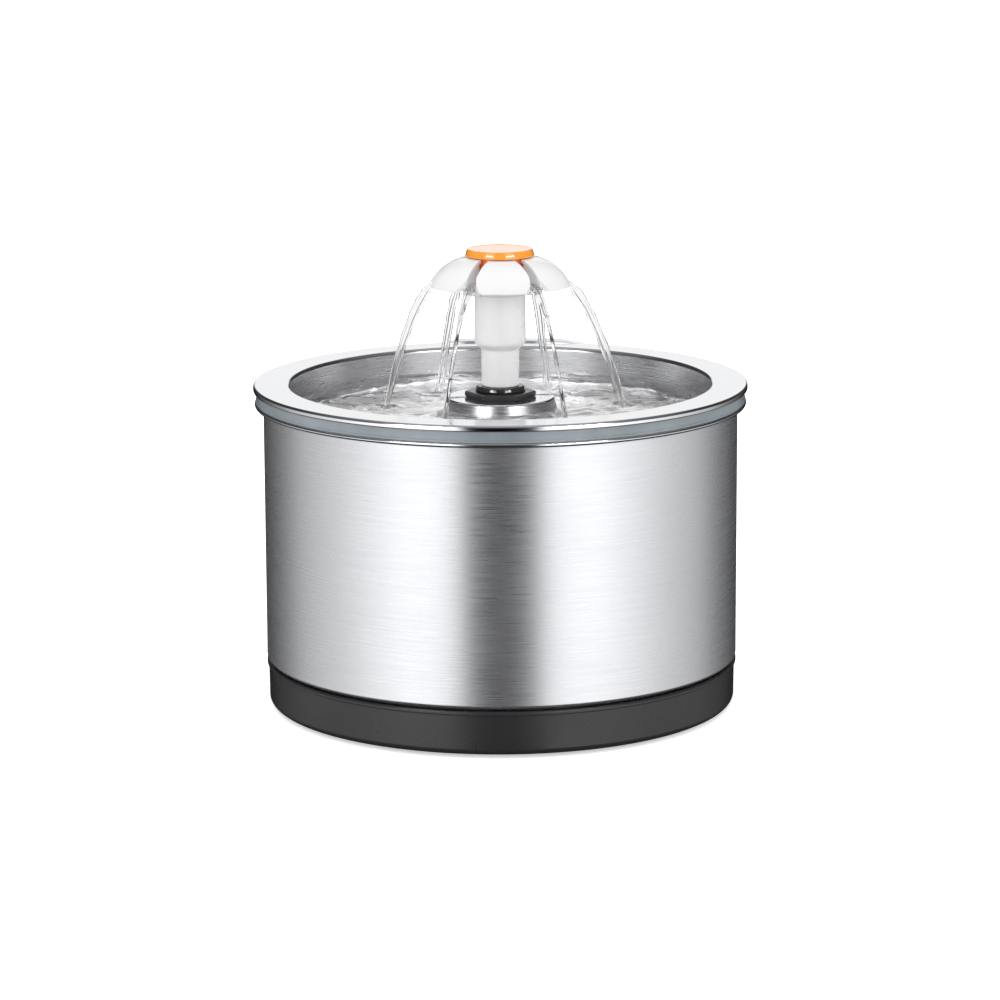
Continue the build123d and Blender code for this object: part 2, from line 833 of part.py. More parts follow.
def make_slider():
    """Flow slider: its own slots line up with the cage's when it is open."""
    half = slider_half_height()
    plate = Pos(rotor_x, pump_middle_z) * Rectangle(slider_width, 2 * half)
    slider = slab(plate - grille(grille_height), slider_front, slider_back)
    grip_x = rotor_x + slider_width / 2 - rail_width / 2
    grip = Pos(grip_x, pump_middle_z) * Rectangle(rail_width, half)
    return slider + slab(grip, slider_front - 2, slider_front)


# ---- Stem and flower ----------------------------------------------------------------------------

def make_stem():
    """White stem: a neck over the spigot's nose, a taper and a wide barrel with a plug on top."""
    neck_bore = nose_radius + push_fit
    plug_radius = barrel_radius - stem_wall / 2 - push_fit
    taper_z = stem_foot_z + neck_length
    inner = plug_radius - stem_wall
    return turned(
        (neck_bore, stem_foot_z),
        (neck_radius, stem_foot_z, 0.5),
        (neck_radius, taper_z, neck_round),
        (barrel_radius, barrel_z, barrel_round),
        (barrel_radius, head_z),
        (plug_radius, head_z),
        (plug_radius, head_z + stem_plug - lead_in),
        (plug_radius - lead_in, head_z + stem_plug),
        (inner, head_z + stem_plug),
        (inner, barrel_z),
        (nose_radius - 1, nose_z + loose_fit),
        (neck_bore, nose_z + loose_fit),
    )


def petal_plan():
    """The petals seen from above: a disc with parallel gaps, their outer corners rounded."""
    plan = Sketch() + Circle(petal_reach)
    gap = Pos(petal_reach, 0) * Rectangle(2 * (petal_reach - plenum_radius), gap_width)
    for turn in round_z(petal_count):
        plan -= turn * gap
    corners = [v for v in plan.vertices() if (v.X ** 2 + v.Y ** 2) > (petal_reach - 1) ** 2]
    return fillet(corners, petal_corner)


def gap_profile(start_z, end_z, top):
    """Side view of a channel from the plenum to its lip, as a face in X and Z."""
    return make_face(
        Polyline(
            (plenum_radius - 1.3, start_z),
            (channel_reach, end_z),
            (channel_reach, top),
            (plenum_radius - 1.3, top),
            close=True,
        )
    )


def make_flower():
    """Flower head: six domed petals with water channels between them, round an open plenum."""
    hub_radius = core_bore + channel_wall
    in_wall = channel_wall / 3
    ring_arc = Pos(crest_radius, dome_z) * (Circle(dome_radius) - Circle(dome_radius - petal_wall))
    window = Pos(core_bore + in_wall + petal_reach / 2, crest_z - petal_drop / 2) * Rectangle(
        petal_reach, petal_drop
    )
    dome = revolve(Plane.XZ * (ring_arc & window), Axis.Z)
    petals = dome & extrude(Plane.XY.offset(head_z) * petal_plan(), crest_height + 1)

    # What lies under the domes: the walls and the floors of the channels, and the hub.
    middle_radius = dome_radius - petal_wall / 2
    below = Pos(crest_radius, dome_z) * Circle(middle_radius)
    below += Pos(0, dome_z) * Rectangle(2 * crest_radius, 2 * middle_radius)
    below &= Pos(channel_reach / 2, head_z + crest_height / 2) * Rectangle(channel_reach, crest_height)
    under_dome = revolve(Plane.XZ * below, Axis.Z)
    start_z = head_z + channel_start
    end_z = head_z + channel_end
    wall_view = gap_profile(start_z - channel_wall, end_z - channel_wall, crest_z)
    wall = extrude(Plane.XZ * wall_view, gap_width / 2 + channel_wall, both=True)
    water_view = gap_profile(start_z, end_z, crest_z + 2)
    water = extrude(Plane.XZ * water_view, gap_width / 2, both=True)
    turns = round_z(petal_count)
    channels = under_dome & (Part() + [turn * wall for turn in turns])
    socket_top = head_z + stem_plug + push_fit
    channels -= rod(plenum_radius + in_wall, head_z, centre_z)
    channels -= rod(core_bore + in_wall, centre_z - push_fit, crest_z + 2)

    hub_top = dome_z + sqrt(middle_radius ** 2 - (core_bore - crest_radius) ** 2)
    socket = barrel_radius - stem_wall / 2
    hub = turned(
        (socket, head_z),
        (barrel_radius, head_z),
        (hub_radius, head_z + crest_height * 0.36, 2.0),
        (hub_radius, hub_top),
        (core_bore, hub_top),
        (core_bore, centre_z - push_fit),
        (plenum_radius, centre_z - push_fit),
        (plenum_radius, socket_top),
        (socket, socket_top),
    )
    head = petals + channels + hub
    head -= [turn * water for turn in turns]
    return Rot(0, 0, flower_turn) * head


def make_centre():
    """Orange centre: a dished cap on a hollow plug; the water leaves under the plug's edge."""
    inner = centre_radius - centre_wall
    top = cap_z + cap_height
    top_radius = cap_radius - cap_slope
    dish_radius = top_radius - cap_rim
    return turned(
        (inner, centre_z),
        (centre_radius - lead_in, centre_z),
        (centre_radius, centre_z + lead_in),
        (centre_radius, cap_z),
        (cap_radius, cap_z),
        (top_radius, top, 0.4),
        (dish_radius, top),
        (dish_radius - 3 * cap_dish, top - cap_dish),
        (0, top - cap_dish),
        (0, cap_z - centre_wall / 2),
        (inner, cap_z - centre_wall / 2),
    )


# ---- Write every piece --------------------------------------------------------------------------

pouch_low, pouch_high = pouch_sizes()[2:]
resin_low = pouch_low + pouch_wall + push_fit
resin_high = pouch_split() - pouch_wall / 2 - push_fit
carbon_low = pouch_split() + pouch_wall / 2 + push_fit
carbon_high = pouch_high - pouch_wall - push_fit

pieces = {
    "base_ring": make_base(),
    "rubber_feet": make_feet(),
    "tank": make_tank(),
    "seal_ring": make_seal(),
    "cord_grommet": make_grommet(),
    "drinking_tray": make_tray(),
    "lock_nut": make_nut(),
    "rubber_collar": make_collar(),
    "boss_washer": make_washer(),
    "threaded_spigot": make_spigot(),
    "riser_pipe": make_riser(),
    "filter_basket": make_basket(),
    "filter_lid": make_filter_lid(),
    "filter_pouch": make_pouch(),
    "carbon_bed": make_bed(carbon_low, carbon_high),
    "resin_bed": make_bed(resin_low, resin_high),
    "pump_housing": make_pump_housing(),
    "pump_back_plate": make_pump_back(),
    "stator_core": make_stator_core(),
    "stator_coil": make_stator_coil(),
    "impeller": make_impeller(),
    "rotor_magnet": make_magnet(),
    "rotor_shaft": make_shaft(),
    "rear_bush": make_bush(can_end, 0.02),
    "front_bush": make_bush(front_bush_front(), 0.05),
    "suction_cups": make_cups(),
    "impeller_cover": make_impeller_cover(),
    "intake_cage": make_cage(),
    "intake_foam": make_foam(),
    "flow_slider": make_slider(),
    "spout_stem": make_stem(),
    "flower_head": make_flower(),
    "flower_centre": make_centre(),
}

for name, piece in pieces.items():
    export_step(piece, f"parts/{name}.step")
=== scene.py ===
from math import asin, ceil, cos, exp, hypot, pi, radians, sin, sqrt, tan

import bmesh
import bpy
from mathutils import Matrix, Vector, noise


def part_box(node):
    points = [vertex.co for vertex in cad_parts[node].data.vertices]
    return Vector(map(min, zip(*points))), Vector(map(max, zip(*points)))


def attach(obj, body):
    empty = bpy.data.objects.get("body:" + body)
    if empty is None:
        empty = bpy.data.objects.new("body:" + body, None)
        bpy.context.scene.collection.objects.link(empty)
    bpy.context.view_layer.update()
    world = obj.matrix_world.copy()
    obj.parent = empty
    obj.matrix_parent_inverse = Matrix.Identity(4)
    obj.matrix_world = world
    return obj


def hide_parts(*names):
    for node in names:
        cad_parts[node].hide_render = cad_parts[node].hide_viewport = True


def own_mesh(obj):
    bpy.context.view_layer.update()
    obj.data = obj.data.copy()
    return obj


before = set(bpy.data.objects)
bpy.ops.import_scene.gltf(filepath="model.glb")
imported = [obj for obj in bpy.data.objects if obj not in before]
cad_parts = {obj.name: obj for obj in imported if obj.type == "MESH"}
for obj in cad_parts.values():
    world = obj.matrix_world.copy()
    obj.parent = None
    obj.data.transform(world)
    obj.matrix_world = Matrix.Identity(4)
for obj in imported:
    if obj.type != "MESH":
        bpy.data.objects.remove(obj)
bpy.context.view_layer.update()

# ---- Studio ----
# A white product-shot studio: a pale floor and a white backdrop. Glossy pieces mirror two tall soft
# boxes at the front's left and right, dark gaps between them and behind, and a paler ceiling.

MM = 0.001
scene = bpy.context.scene
scene.view_settings.view_transform = "Standard"


def add(tree, kind, settings=None, inputs=None, stops=()):
    """Add a node: settings are its properties, inputs are sockets' values or what feeds them, and
    stops are the positions and greys of its colour ramp."""
    node = tree.nodes.new(kind)
    for name, value in (settings or {}).items():
        setattr(node, name, value)
    for name, value in (inputs or {}).items():
        if isinstance(value, bpy.types.NodeSocket):
            tree.links.new(value, node.inputs[name])
        else:
            node.inputs[name].default_value = value
    if stops:
        elements = node.color_ramp.elements
        while len(elements) < len(stops):
            elements.new(0.5)
        for element, (position, grey) in zip(elements, stops):
            element.position = position
            element.color = (grey, grey, grey, 1)
    return node


world = bpy.data.worlds.new("studio")
scene.world = world
world.use_nodes = True
sky = world.node_tree
sky.nodes.clear()
direction = add(sky, "ShaderNodeTexCoord").outputs["Generated"]
axes = add(sky, "ShaderNodeSeparateXYZ", inputs={"Vector": direction})
to_front = add(sky, "ShaderNodeMath", {"operation": "MULTIPLY"}, {0: axes.outputs["Y"], 1: -1.0})
azimuth = add(sky, "ShaderNodeMath", {"operation": "ARCTAN2"}, {
    0: axes.outputs["X"], 1: to_front.outputs[0]})
either_side = add(sky, "ShaderNodeMath", {"operation": "ABSOLUTE"}, {0: azimuth.outputs[0]})
turn = add(sky, "ShaderNodeMath", {"operation": "DIVIDE"}, {0: either_side.outputs[0], 1: pi}).outputs[0]

# Bands of the studio from the table upwards: greys by the share of a half turn from the front, and
# the heights between which the band below fades into it. Greys are shares of the brightest one.
BRIGHTEST = 1.5
table = [(0.0, 0.03), (1.0, 0.03)]
bands = [
    (-0.46, -0.34, [
        (0, 0.0), (0.06, 0.005), (0.085, 0.05), (0.10, 0.45), (0.115, 0.90), (0.144, 1.0), (0.278, 1.0),
        (0.311, 0.90), (0.367, 0.80), (0.455, 0.60), (0.555, 0.46), (0.622, 0.37), (0.67, 0.23),
        (0.72, 0.14), (0.80, 0.06), (0.87, 0.01), (1, 0.01)]),
    (-0.03, 0.05, [
        (0, 0.035), (0.094, 0.035), (0.117, 1.0), (0.278, 1.0), (0.31, 0.12), (0.55, 0.06),
        (0.60, 0.03), (0.92, 0.03), (0.955, 0.66), (1, 0.66)]),
    (0.36, 0.48, [
        (0, 0.05), (0.094, 0.05), (0.117, 0.8), (0.278, 0.8), (0.31, 0.12), (0.55, 0.06),
        (0.60, 0.03), (0.92, 0.03), (0.955, 0.5), (1, 0.5)]),
    (0.60, 0.70, [(0, 0.10), (1, 0.10)]),
    (0.80, 0.92, [(0, 0.30), (1, 0.30)]),
]
studio = add(sky, "ShaderNodeValToRGB", inputs={"Fac": turn}, stops=table).outputs["Color"]
for low, high, greys in bands:
    rise = add(sky, "ShaderNodeMapRange", inputs={
        "Value": axes.outputs["Z"], "From Min": low, "From Max": high})
    band = add(sky, "ShaderNodeValToRGB", inputs={"Fac": turn}, stops=greys)
    studio = add(sky, "ShaderNodeMix", {"data_type": "RGBA"}, {
        0: rise.outputs[0], 6: studio, 7: band.outputs["Color"]}).outputs[2]
studio = add(sky, "ShaderNodeVectorMath", {"operation": "SCALE"}, {0: studio, "Scale": BRIGHTEST}).outputs[0]

# Through clear water the white backdrop shows straight behind, and black cards stand beside it: close
# to it below the level of the eye, where the jets are looked through, and further off above. A bright
# ceiling stands over both.
BRIGHT_CEILING = 1.6
off_level = add(sky, "ShaderNodeMapRange", inputs={
    "Value": axes.outputs["Z"], "From Min": 0.33, "From Max": 0.5})
above_level = add(sky, "ShaderNodeMapRange", inputs={
    "Value": axes.outputs["Z"], "From Min": -0.08, "From Max": 0.0})
near_cards, far_cards = [
    add(sky, "ShaderNodeValToRGB", inputs={"Fac": turn}, stops=greys).outputs["Color"]
    for greys in (
        [(0, 0.02), (0.84, 0.02), (0.885, 0.15), (0.93, 1.0), (1, 1.0)],
        [(0, 0.02), (0.60, 0.02), (0.76, 0.15), (0.82, 1.0), (1, 1.0)])]
cards = add(sky, "ShaderNodeMix", {"data_type": "RGBA"}, {
    0: above_level.outputs[0], 6: near_cards, 7: far_cards})
through = add(sky, "ShaderNodeMix", {"data_type": "RGBA"}, {
    0: off_level.outputs[0], 6: cards.outputs[2], 7: (BRIGHT_CEILING, BRIGHT_CEILING, BRIGHT_CEILING, 1)})
path = add(sky, "ShaderNodeLightPath")
refracted = add(sky, "ShaderNodeMix", {"data_type": "RGBA"}, {
    0: path.outputs["Is Transmission Ray"], 6: studio, 7: through.outputs[2]})

# Dull surfaces get a soft light of their own: strong from low down, weaker from above and weakest from
# the front above, so that the white petals keep their shading. The camera sees plain white.
high_up = add(sky, "ShaderNodeMapRange", inputs={
    "Value": axes.outputs["Y"], "From Min": -0.7, "From Max": 0.3, "To Min": 0.5, "To Max": 1.3})
soft_light = add(sky, "ShaderNodeMapRange", inputs={
    "Value": axes.outputs["Z"], "From Min": 0.05, "From Max": 0.5, "To Min": 1.95, "To Max": high_up.outputs[0]})
filled = add(sky, "ShaderNodeMix", {"data_type": "RGBA"}, {
    0: path.outputs["Is Diffuse Ray"], 6: refracted.outputs[2], 7: soft_light.outputs[0]})
seen = add(sky, "ShaderNodeMix", {"data_type": "RGBA"}, {
    0: path.outputs["Is Camera Ray"], 6: filled.outputs[2], 7: (1, 1, 1, 1)})
backdrop = add(sky, "ShaderNodeBackground", inputs={"Color": seen.outputs[2], "Strength": 1.0})
add(sky, "ShaderNodeOutputWorld", inputs={"Surface": backdrop.outputs[0]})

floor_mesh = bpy.data.meshes.new("studio_floor")
floor_mesh.from_pydata([(-6, -6, 0), (6, -6, 0), (6, 6, 0), (-6, 6, 0)], [], [(0, 1, 2, 3)])
floor = bpy.data.objects.new("studio_floor", floor_mesh)
scene.collection.objects.link(floor)
floor_paper = bpy.data.materials.new("white_paper")
floor_paper.use_nodes = True
paper = floor_paper.node_tree
paper.nodes.clear()
matt = add(paper, "ShaderNodeBsdfDiffuse", inputs={"Color": (0.92, 0.92, 0.92, 1)})
paper_place = add(paper, "ShaderNodeTexCoord").outputs["Object"]
from_fountain = add(paper, "ShaderNodeVectorMath", {"operation": "LENGTH"}, {0: paper_place})
brighter = add(paper, "ShaderNodeMapRange", inputs={
    "Value": from_fountain.outputs["Value"], "From Min": 0.2, "From Max": 0.7, "To Min": 0.5, "To Max": 1.0})
glow = add(paper, "ShaderNodeEmission", inputs={"Color": (1, 1, 1, 1), "Strength": brighter.outputs[0]})
paper_path = add(paper, "ShaderNodeLightPath")
watched = add(paper, "ShaderNodeMath", {"operation": "MAXIMUM"}, {
    0: paper_path.outputs["Is Camera Ray"], 1: paper_path.outputs["Is Transmission Ray"]})
lit = add(paper, "ShaderNodeAddShader", inputs={0: matt.outputs[0], 1: glow.outputs[0]})
sheet_of_paper = add(paper, "ShaderNodeMixShader", inputs={
    0: watched.outputs[0], 1: matt.outputs[0], 2: lit.outputs[0]})
add(paper, "ShaderNodeOutputMaterial", inputs={"Surface": sheet_of_paper.outputs[0]})
floor_mesh.materials.append(floor_paper)
floor.visible_glossy = False
floor.visible_transmission = False

# Lamps: a soft box overhead and one high at the front light the pieces and are never mirrored. Two
# narrow strips at the front's sides are only mirrored, as small highlights on plastic and rubber.
LAMPS_AIM = Vector((0, 0, 0.14))
lamps = {
    "overhead_soft_box": ((0, -0.25, 1.5), 1.6, 1.2, 3.6, False),
    "front_soft_box": ((0, -1.70, 0.72), 1.4, 0.9, 4.0, False),
    "left_strip": ((-0.80, -1.10, 0.74), 0.68, 0.055, 3.4, True),
    "right_strip": ((0.80, -1.10, 0.74), 0.68, 0.055, 3.4, True),
}
for name, (place, wide, tall, watts, mirrored) in lamps.items():
    light = bpy.data.lights.new(name, "AREA")
    light.shape = "RECTANGLE"
    light.size = wide
    light.size_y = tall
    light.energy = watts
    lamp = bpy.data.objects.new(name, light)
    beam = (LAMPS_AIM - Vector(place)).to_track_quat("-Z", "Y")
    lamp.matrix_world = Matrix.Translation(place) @ beam.to_matrix().to_4x4()
    lamp.visible_glossy = mirrored
    lamp.visible_diffuse = not mirrored
    lamp.visible_transmission = False
    scene.collection.objects.link(lamp)

camera_data = bpy.data.cameras.new("camera")
camera_data.sensor_width = 36
camera_data.lens = 138.657
camera_data.clip_start = 0.05
camera_data.clip_end = 50
camera = bpy.data.objects.new("camera", camera_data)
scene.collection.objects.link(camera)
pitch, roll, yaw = radians(11.7234), radians(-0.2565), radians(-0.0134)
ahead = Vector((sin(yaw) * cos(pitch), cos(yaw) * cos(pitch), -sin(pitch)))
level = ahead.cross(Vector((0, 0, 1))).normalized()
upright = level.cross(ahead)
right = cos(roll) * level + sin(roll) * upright
up = cos(roll) * upright - sin(roll) * level
aim = Matrix((right, up, -ahead)).transposed().to_4x4()
camera.matrix_world = Matrix.Translation((0, -1.44443, 0.3775)) @ aim
scene.camera = camera

# ---- Moulded base ----
# One injection-moulded ABS cup with a rounded bead round its mouth. The tank's foot stands in it on
# eight low ribs, and its underside has the same ribs and four ring-shaped seats for the feet.


def colour(code):
    """An sRGB hex value as linear RGBA."""
    parts = [int(code[place : place + 2], 16) / 255 for place in (1, 3, 5)]
    return [v / 12.92 if v <= 0.04045 else ((v + 0.055) / 1.055) ** 2.4 for v in parts] + [1.0]


def round_corner(before, here, after, rounding):
    """Points of the arc that rounds one corner of an outline."""
    to_before = (before - here).normalized()
    to_after = (after - here).normalized()
    half = to_before.angle(to_after) / 2
    middle = here + (to_before + to_after).normalized() * (rounding / sin(half))
    start = here + to_before * (rounding / tan(half)) - middle
    sweep = pi - 2 * half
    if to_before.x * to_after.y - to_before.y * to_after.x > 0:
        sweep = -sweep
    steps = max(3, ceil(abs(sweep) / radians(10)))
    arc = []
    for step in range(steps + 1):
        angle = sweep * step / steps
        arc.append(middle + Vector((
            start.x * cos(angle) - start.y * sin(angle), start.x * sin(angle) + start.y * cos(angle))))
    return arc


def outline(corners, closed=True, hold=0.12):
    """Points of an outline of (radius, height[, rounding]) corners, in millimetres.

    Long straight runs get a point close to each end, which keeps them flat when shaded smooth."""
    points = []
    count = len(corners)
    for index, corner in enumerate(corners):
        here = Vector(corner[:2])
        inside = closed or 0 < index < count - 1
        if len(corner) == 3 and corner[2] > 0 and inside:
            before = Vector(corners[index - 1][:2])
            after = Vector(corners[(index + 1) % count][:2])
            points += round_corner(before, here, after, corner[2])
        else:
            points.append(here)
    held = []
    for index, here in enumerate(points):
        held.append(here)
        if index == len(points) - 1 and not closed:
            break
        after = points[(index + 1) % len(points)]
        run = (after - here).length
        if run > 8 * hold:
            along = (after - here) / run
            held += [here + along * hold, after - along * hold]
    return held


def solid(name, points, faces):
    """An object from points in millimetres, its faces turned outwards, smooth but for its edges."""
    mesh = bpy.data.meshes.new(name)
    mesh.from_pydata([Vector(point) * MM for point in points], [], faces)
    work = bmesh.new()
    work.from_mesh(mesh)
    bmesh.ops.remove_doubles(work, verts=work.verts, dist=1e-7)
    bmesh.ops.recalc_face_normals(work, faces=work.faces)
    work.to_mesh(mesh)
    work.free()
    mesh.shade_smooth()
    mesh.set_sharp_from_angle(angle=radians(34))
    piece = bpy.data.objects.new(name, mesh)
    scene.collection.objects.link(piece)
    return piece


def turned(name, points, steps=256, lift=None):
    """A solid of revolution of a closed outline; lift(x, y, z) gives a point's own height."""
    rings = []
    places = []
    for point in points:
        if point.x < 1e-6:
            rings.append([len(places)])
            places.append((0, 0, point.y))
            continue
        rings.append(range(len(places), len(places) + steps))
        for step in range(steps):
            angle = 2 * pi * step / steps
            x, y = point.x * cos(angle), point.x * sin(angle)
            places.append((x, y, lift(x, y, point.y) if lift else point.y))
    faces = []
    for ring, after in zip(rings, rings[1:] + rings[:1]):
        for step in range(steps):
            along = (step + 1) % steps
            if len(ring) > 1 and len(after) > 1:
                faces.append((ring[step], ring[along], after[along], after[step]))
            elif len(ring) > 1:
                faces.append((ring[step], ring[along], after[0]))
            elif len(after) > 1:
                faces.append((ring[0], after[along], after[step]))
    return solid(name, places, faces)


def plain_mesh(piece):
    """A new plain mesh of a piece with its modifiers."""
    bpy.context.view_layer.update()
    depsgraph = bpy.context.evaluated_depsgraph_get()
    return bpy.data.meshes.new_from_object(piece.evaluated_get(depsgraph))


def bake(piece):
    """Turn a piece and its modifiers into a plain mesh."""
    mesh = plain_mesh(piece)
    piece.modifiers.clear()
    piece.data = mesh
    return piece


def group(name, inputs):
    """A geometry node group and its input node, with a geometry and then the (name, kind) inputs."""
    tree = bpy.data.node_groups.new(name, "GeometryNodeTree")
    for title, kind in (("Geometry", "Geometry"), *inputs):
        tree.interface.new_socket(title, in_out="INPUT", socket_type="NodeSocket" + kind)
    tree.interface.new_socket("Geometry", in_out="OUTPUT", socket_type="NodeSocketGeometry")
    return tree, add(tree, "NodeGroupInput")


def run_group(piece, tree, values):
    """Put a node group on a piece, with values for its named inputs."""
    modifier = piece.modifiers.new(tree.name, "NODES")
    modifier.node_group = tree
    for item in tree.interface.items_tree:
        if item.in_out == "INPUT" and item.name in values:
            modifier[item.identifier] = values[item.name]


ring_tree, given = group("repeat_about_axis", (
    ("Copies", "Int"), ("Start", "Float"), ("Material", "Material")))
places_on_axis = add(ring_tree, "GeometryNodePoints", inputs={"Count": given.outputs["Copies"]})
number = add(ring_tree, "GeometryNodeInputIndex")
spacing = add(ring_tree, "ShaderNodeMath", {"operation": "DIVIDE"}, {0: 2 * pi, 1: given.outputs["Copies"]})
turned_by = add(ring_tree, "ShaderNodeMath", {"operation": "MULTIPLY_ADD"}, {
    0: number.outputs[0], 1: spacing.outputs[0], 2: given.outputs["Start"]})
about_z = add(ring_tree, "ShaderNodeCombineXYZ", inputs={"Z": turned_by.outputs[0]})
copies = add(ring_tree, "GeometryNodeInstanceOnPoints", inputs={
    "Points": places_on_axis.outputs[0], "Instance": given.outputs["Geometry"], "Rotation": about_z.outputs[0]})
real = add(ring_tree, "GeometryNodeRealizeInstances", inputs={"Geometry": copies.outputs[0]})
painted = add(ring_tree, "GeometryNodeSetMaterial", inputs={
    "Geometry": real.outputs[0], "Material": given.outputs["Material"]})
add(ring_tree, "NodeGroupOutput", inputs={"Geometry": painted.outputs[0]})


def repeated(piece, count, start, material=None):
    """Repeat a piece about Z, from the azimuth start in degrees, as one plain mesh."""
    run_group(piece, ring_tree, {"Copies": count, "Start": radians(start), "Material": material})
    return bake(piece)


def joined(piece, *others):
    """Move the others' meshes into one piece."""
    work = bmesh.new()
    work.from_mesh(piece.data)
    for other in others:
        work.from_mesh(other.data)
        bpy.data.objects.remove(other)
    work.to_mesh(piece.data)
    work.free()
    return piece


def box_points(low, high):
    """Points and faces of a box between two corners."""
    points = [(x, y, z) for z in (low[2], high[2]) for y in (low[1], high[1]) for x in (low[0], high[0])]
    faces = [(0, 2, 3, 1), (4, 5, 7, 6), (0, 1, 5, 4), (2, 6, 7, 3), (0, 4, 6, 2), (1, 3, 7, 5)]
    return points, faces


def reach(node):
    """Outer radius, underside and top of a round CAD node, in millimetres."""
    low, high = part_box(node)
    return high.x / MM, low.z / MM, high.z / MM


def paint(piece, material):
    """Give a piece or a CAD node its only material."""
    piece.data.materials.clear()
    piece.data.materials.append(material)
    return piece


def plastic(name, code, roughness, grain=0.25, grain_height=0.02, cloud=0.03):
    """Moulded plastic: a slightly uneven colour and the fine grain of its mould, in millimetres."""
    material = bpy.data.materials.new(name)
    material.use_nodes = True
    tree = material.node_tree
    shader = tree.nodes["Principled BSDF"]
    place = add(tree, "ShaderNodeTexCoord").outputs["Object"]
    eroded = add(tree, "ShaderNodeTexNoise", inputs={"Vector": place, "Scale": 1 / (grain * MM), "Detail": 2.0})
    cloudy = add(tree, "ShaderNodeTexNoise", inputs={"Vector": place, "Scale": 40.0, "Detail": 3.0})
    uneven = add(tree, "ShaderNodeMapRange", inputs={
        "Value": cloudy.outputs["Fac"], "From Min": 0.3, "From Max": 0.7,
        "To Min": roughness - 0.04, "To Max": roughness + 0.04})
    bump = add(tree, "ShaderNodeBump", inputs={
        "Height": eroded.outputs["Fac"], "Distance": grain_height * MM, "Strength": 0.5})
    paler = add(tree, "ShaderNodeMapRange", inputs={
        "Value": cloudy.outputs["Fac"], "From Min": 0.3, "From Max": 0.7, "To Min": 1 - cloud, "To Max": 1.0})
    tinted = add(tree, "ShaderNodeMix", {"data_type": "RGBA", "blend_type": "MULTIPLY"}, {
        0: 1.0, 6: colour(code), 7: paler.outputs[0]})
    tree.links.new(tinted.outputs[2], shader.inputs["Base Color"])
    tree.links.new(uneven.outputs[0], shader.inputs["Roughness"])
    tree.links.new(bump.outputs[0], shader.inputs["Normal"])
    return material


black_abs = plastic("satin_black_abs", "#28282a", 0.27)
bead_radius, base_low, base_high = reach("base_ring")
wall_radius = bead_radius - 0.6
inner_radius = wall_radius - 2.6
base_floor = base_low + 4.2
underside, bead_low = base_low + 2.0, base_high - 1.8
base = turned("moulded_base", outline([
    (0, underside), (inner_radius, underside, 1.0), (inner_radius, base_low, 0.3),
    (wall_radius - 0.2, base_low, 2.4), (wall_radius, bead_low), (bead_radius, bead_low, 0.45),
    (bead_radius, base_high, 0.8), (inner_radius, base_high, 0.8), (inner_radius, base_floor, 1.2),
    (0, base_floor)]))
rib_end = inner_radius - 4.5
rib_start, rib_low, rib_high = 18, base_low + 0.6, base_low + 2.1
under_rib = solid("under_rib", *box_points((rib_start, -1, rib_low), (inner_radius + 0.4, 1, rib_high)))
top_rib = solid("top_rib", *box_points((rib_start, -1, base_floor - 0.1), (rib_end, 1, base_floor + 0.8)))
foot_seat = turned("foot_seat", outline([
    (7.3, rib_low), (8.6, rib_low), (8.6, rib_high), (7.3, rib_high)]), steps=48)
foot_seat.data.transform(Matrix.Translation((72 * MM, 0, 0)))
for shape, copies_of_it, first in ((under_rib, 8, 0), (top_rib, 8, 0), (foot_seat, 4, 22.5)):
    repeated(shape, copies_of_it, first)
joined(base, under_rib, top_rib, foot_seat)
paint(base, black_abs)
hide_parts("base_ring")
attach(base, "tank_body")

# ---- Steel tank ----
# A pot drawn from 0.8 mm stainless sheet, with a stepped foot and a flange whose edge is rolled and
# polished. Its wall is brushed round and round with a fine belt, so each light is a tall soft band.


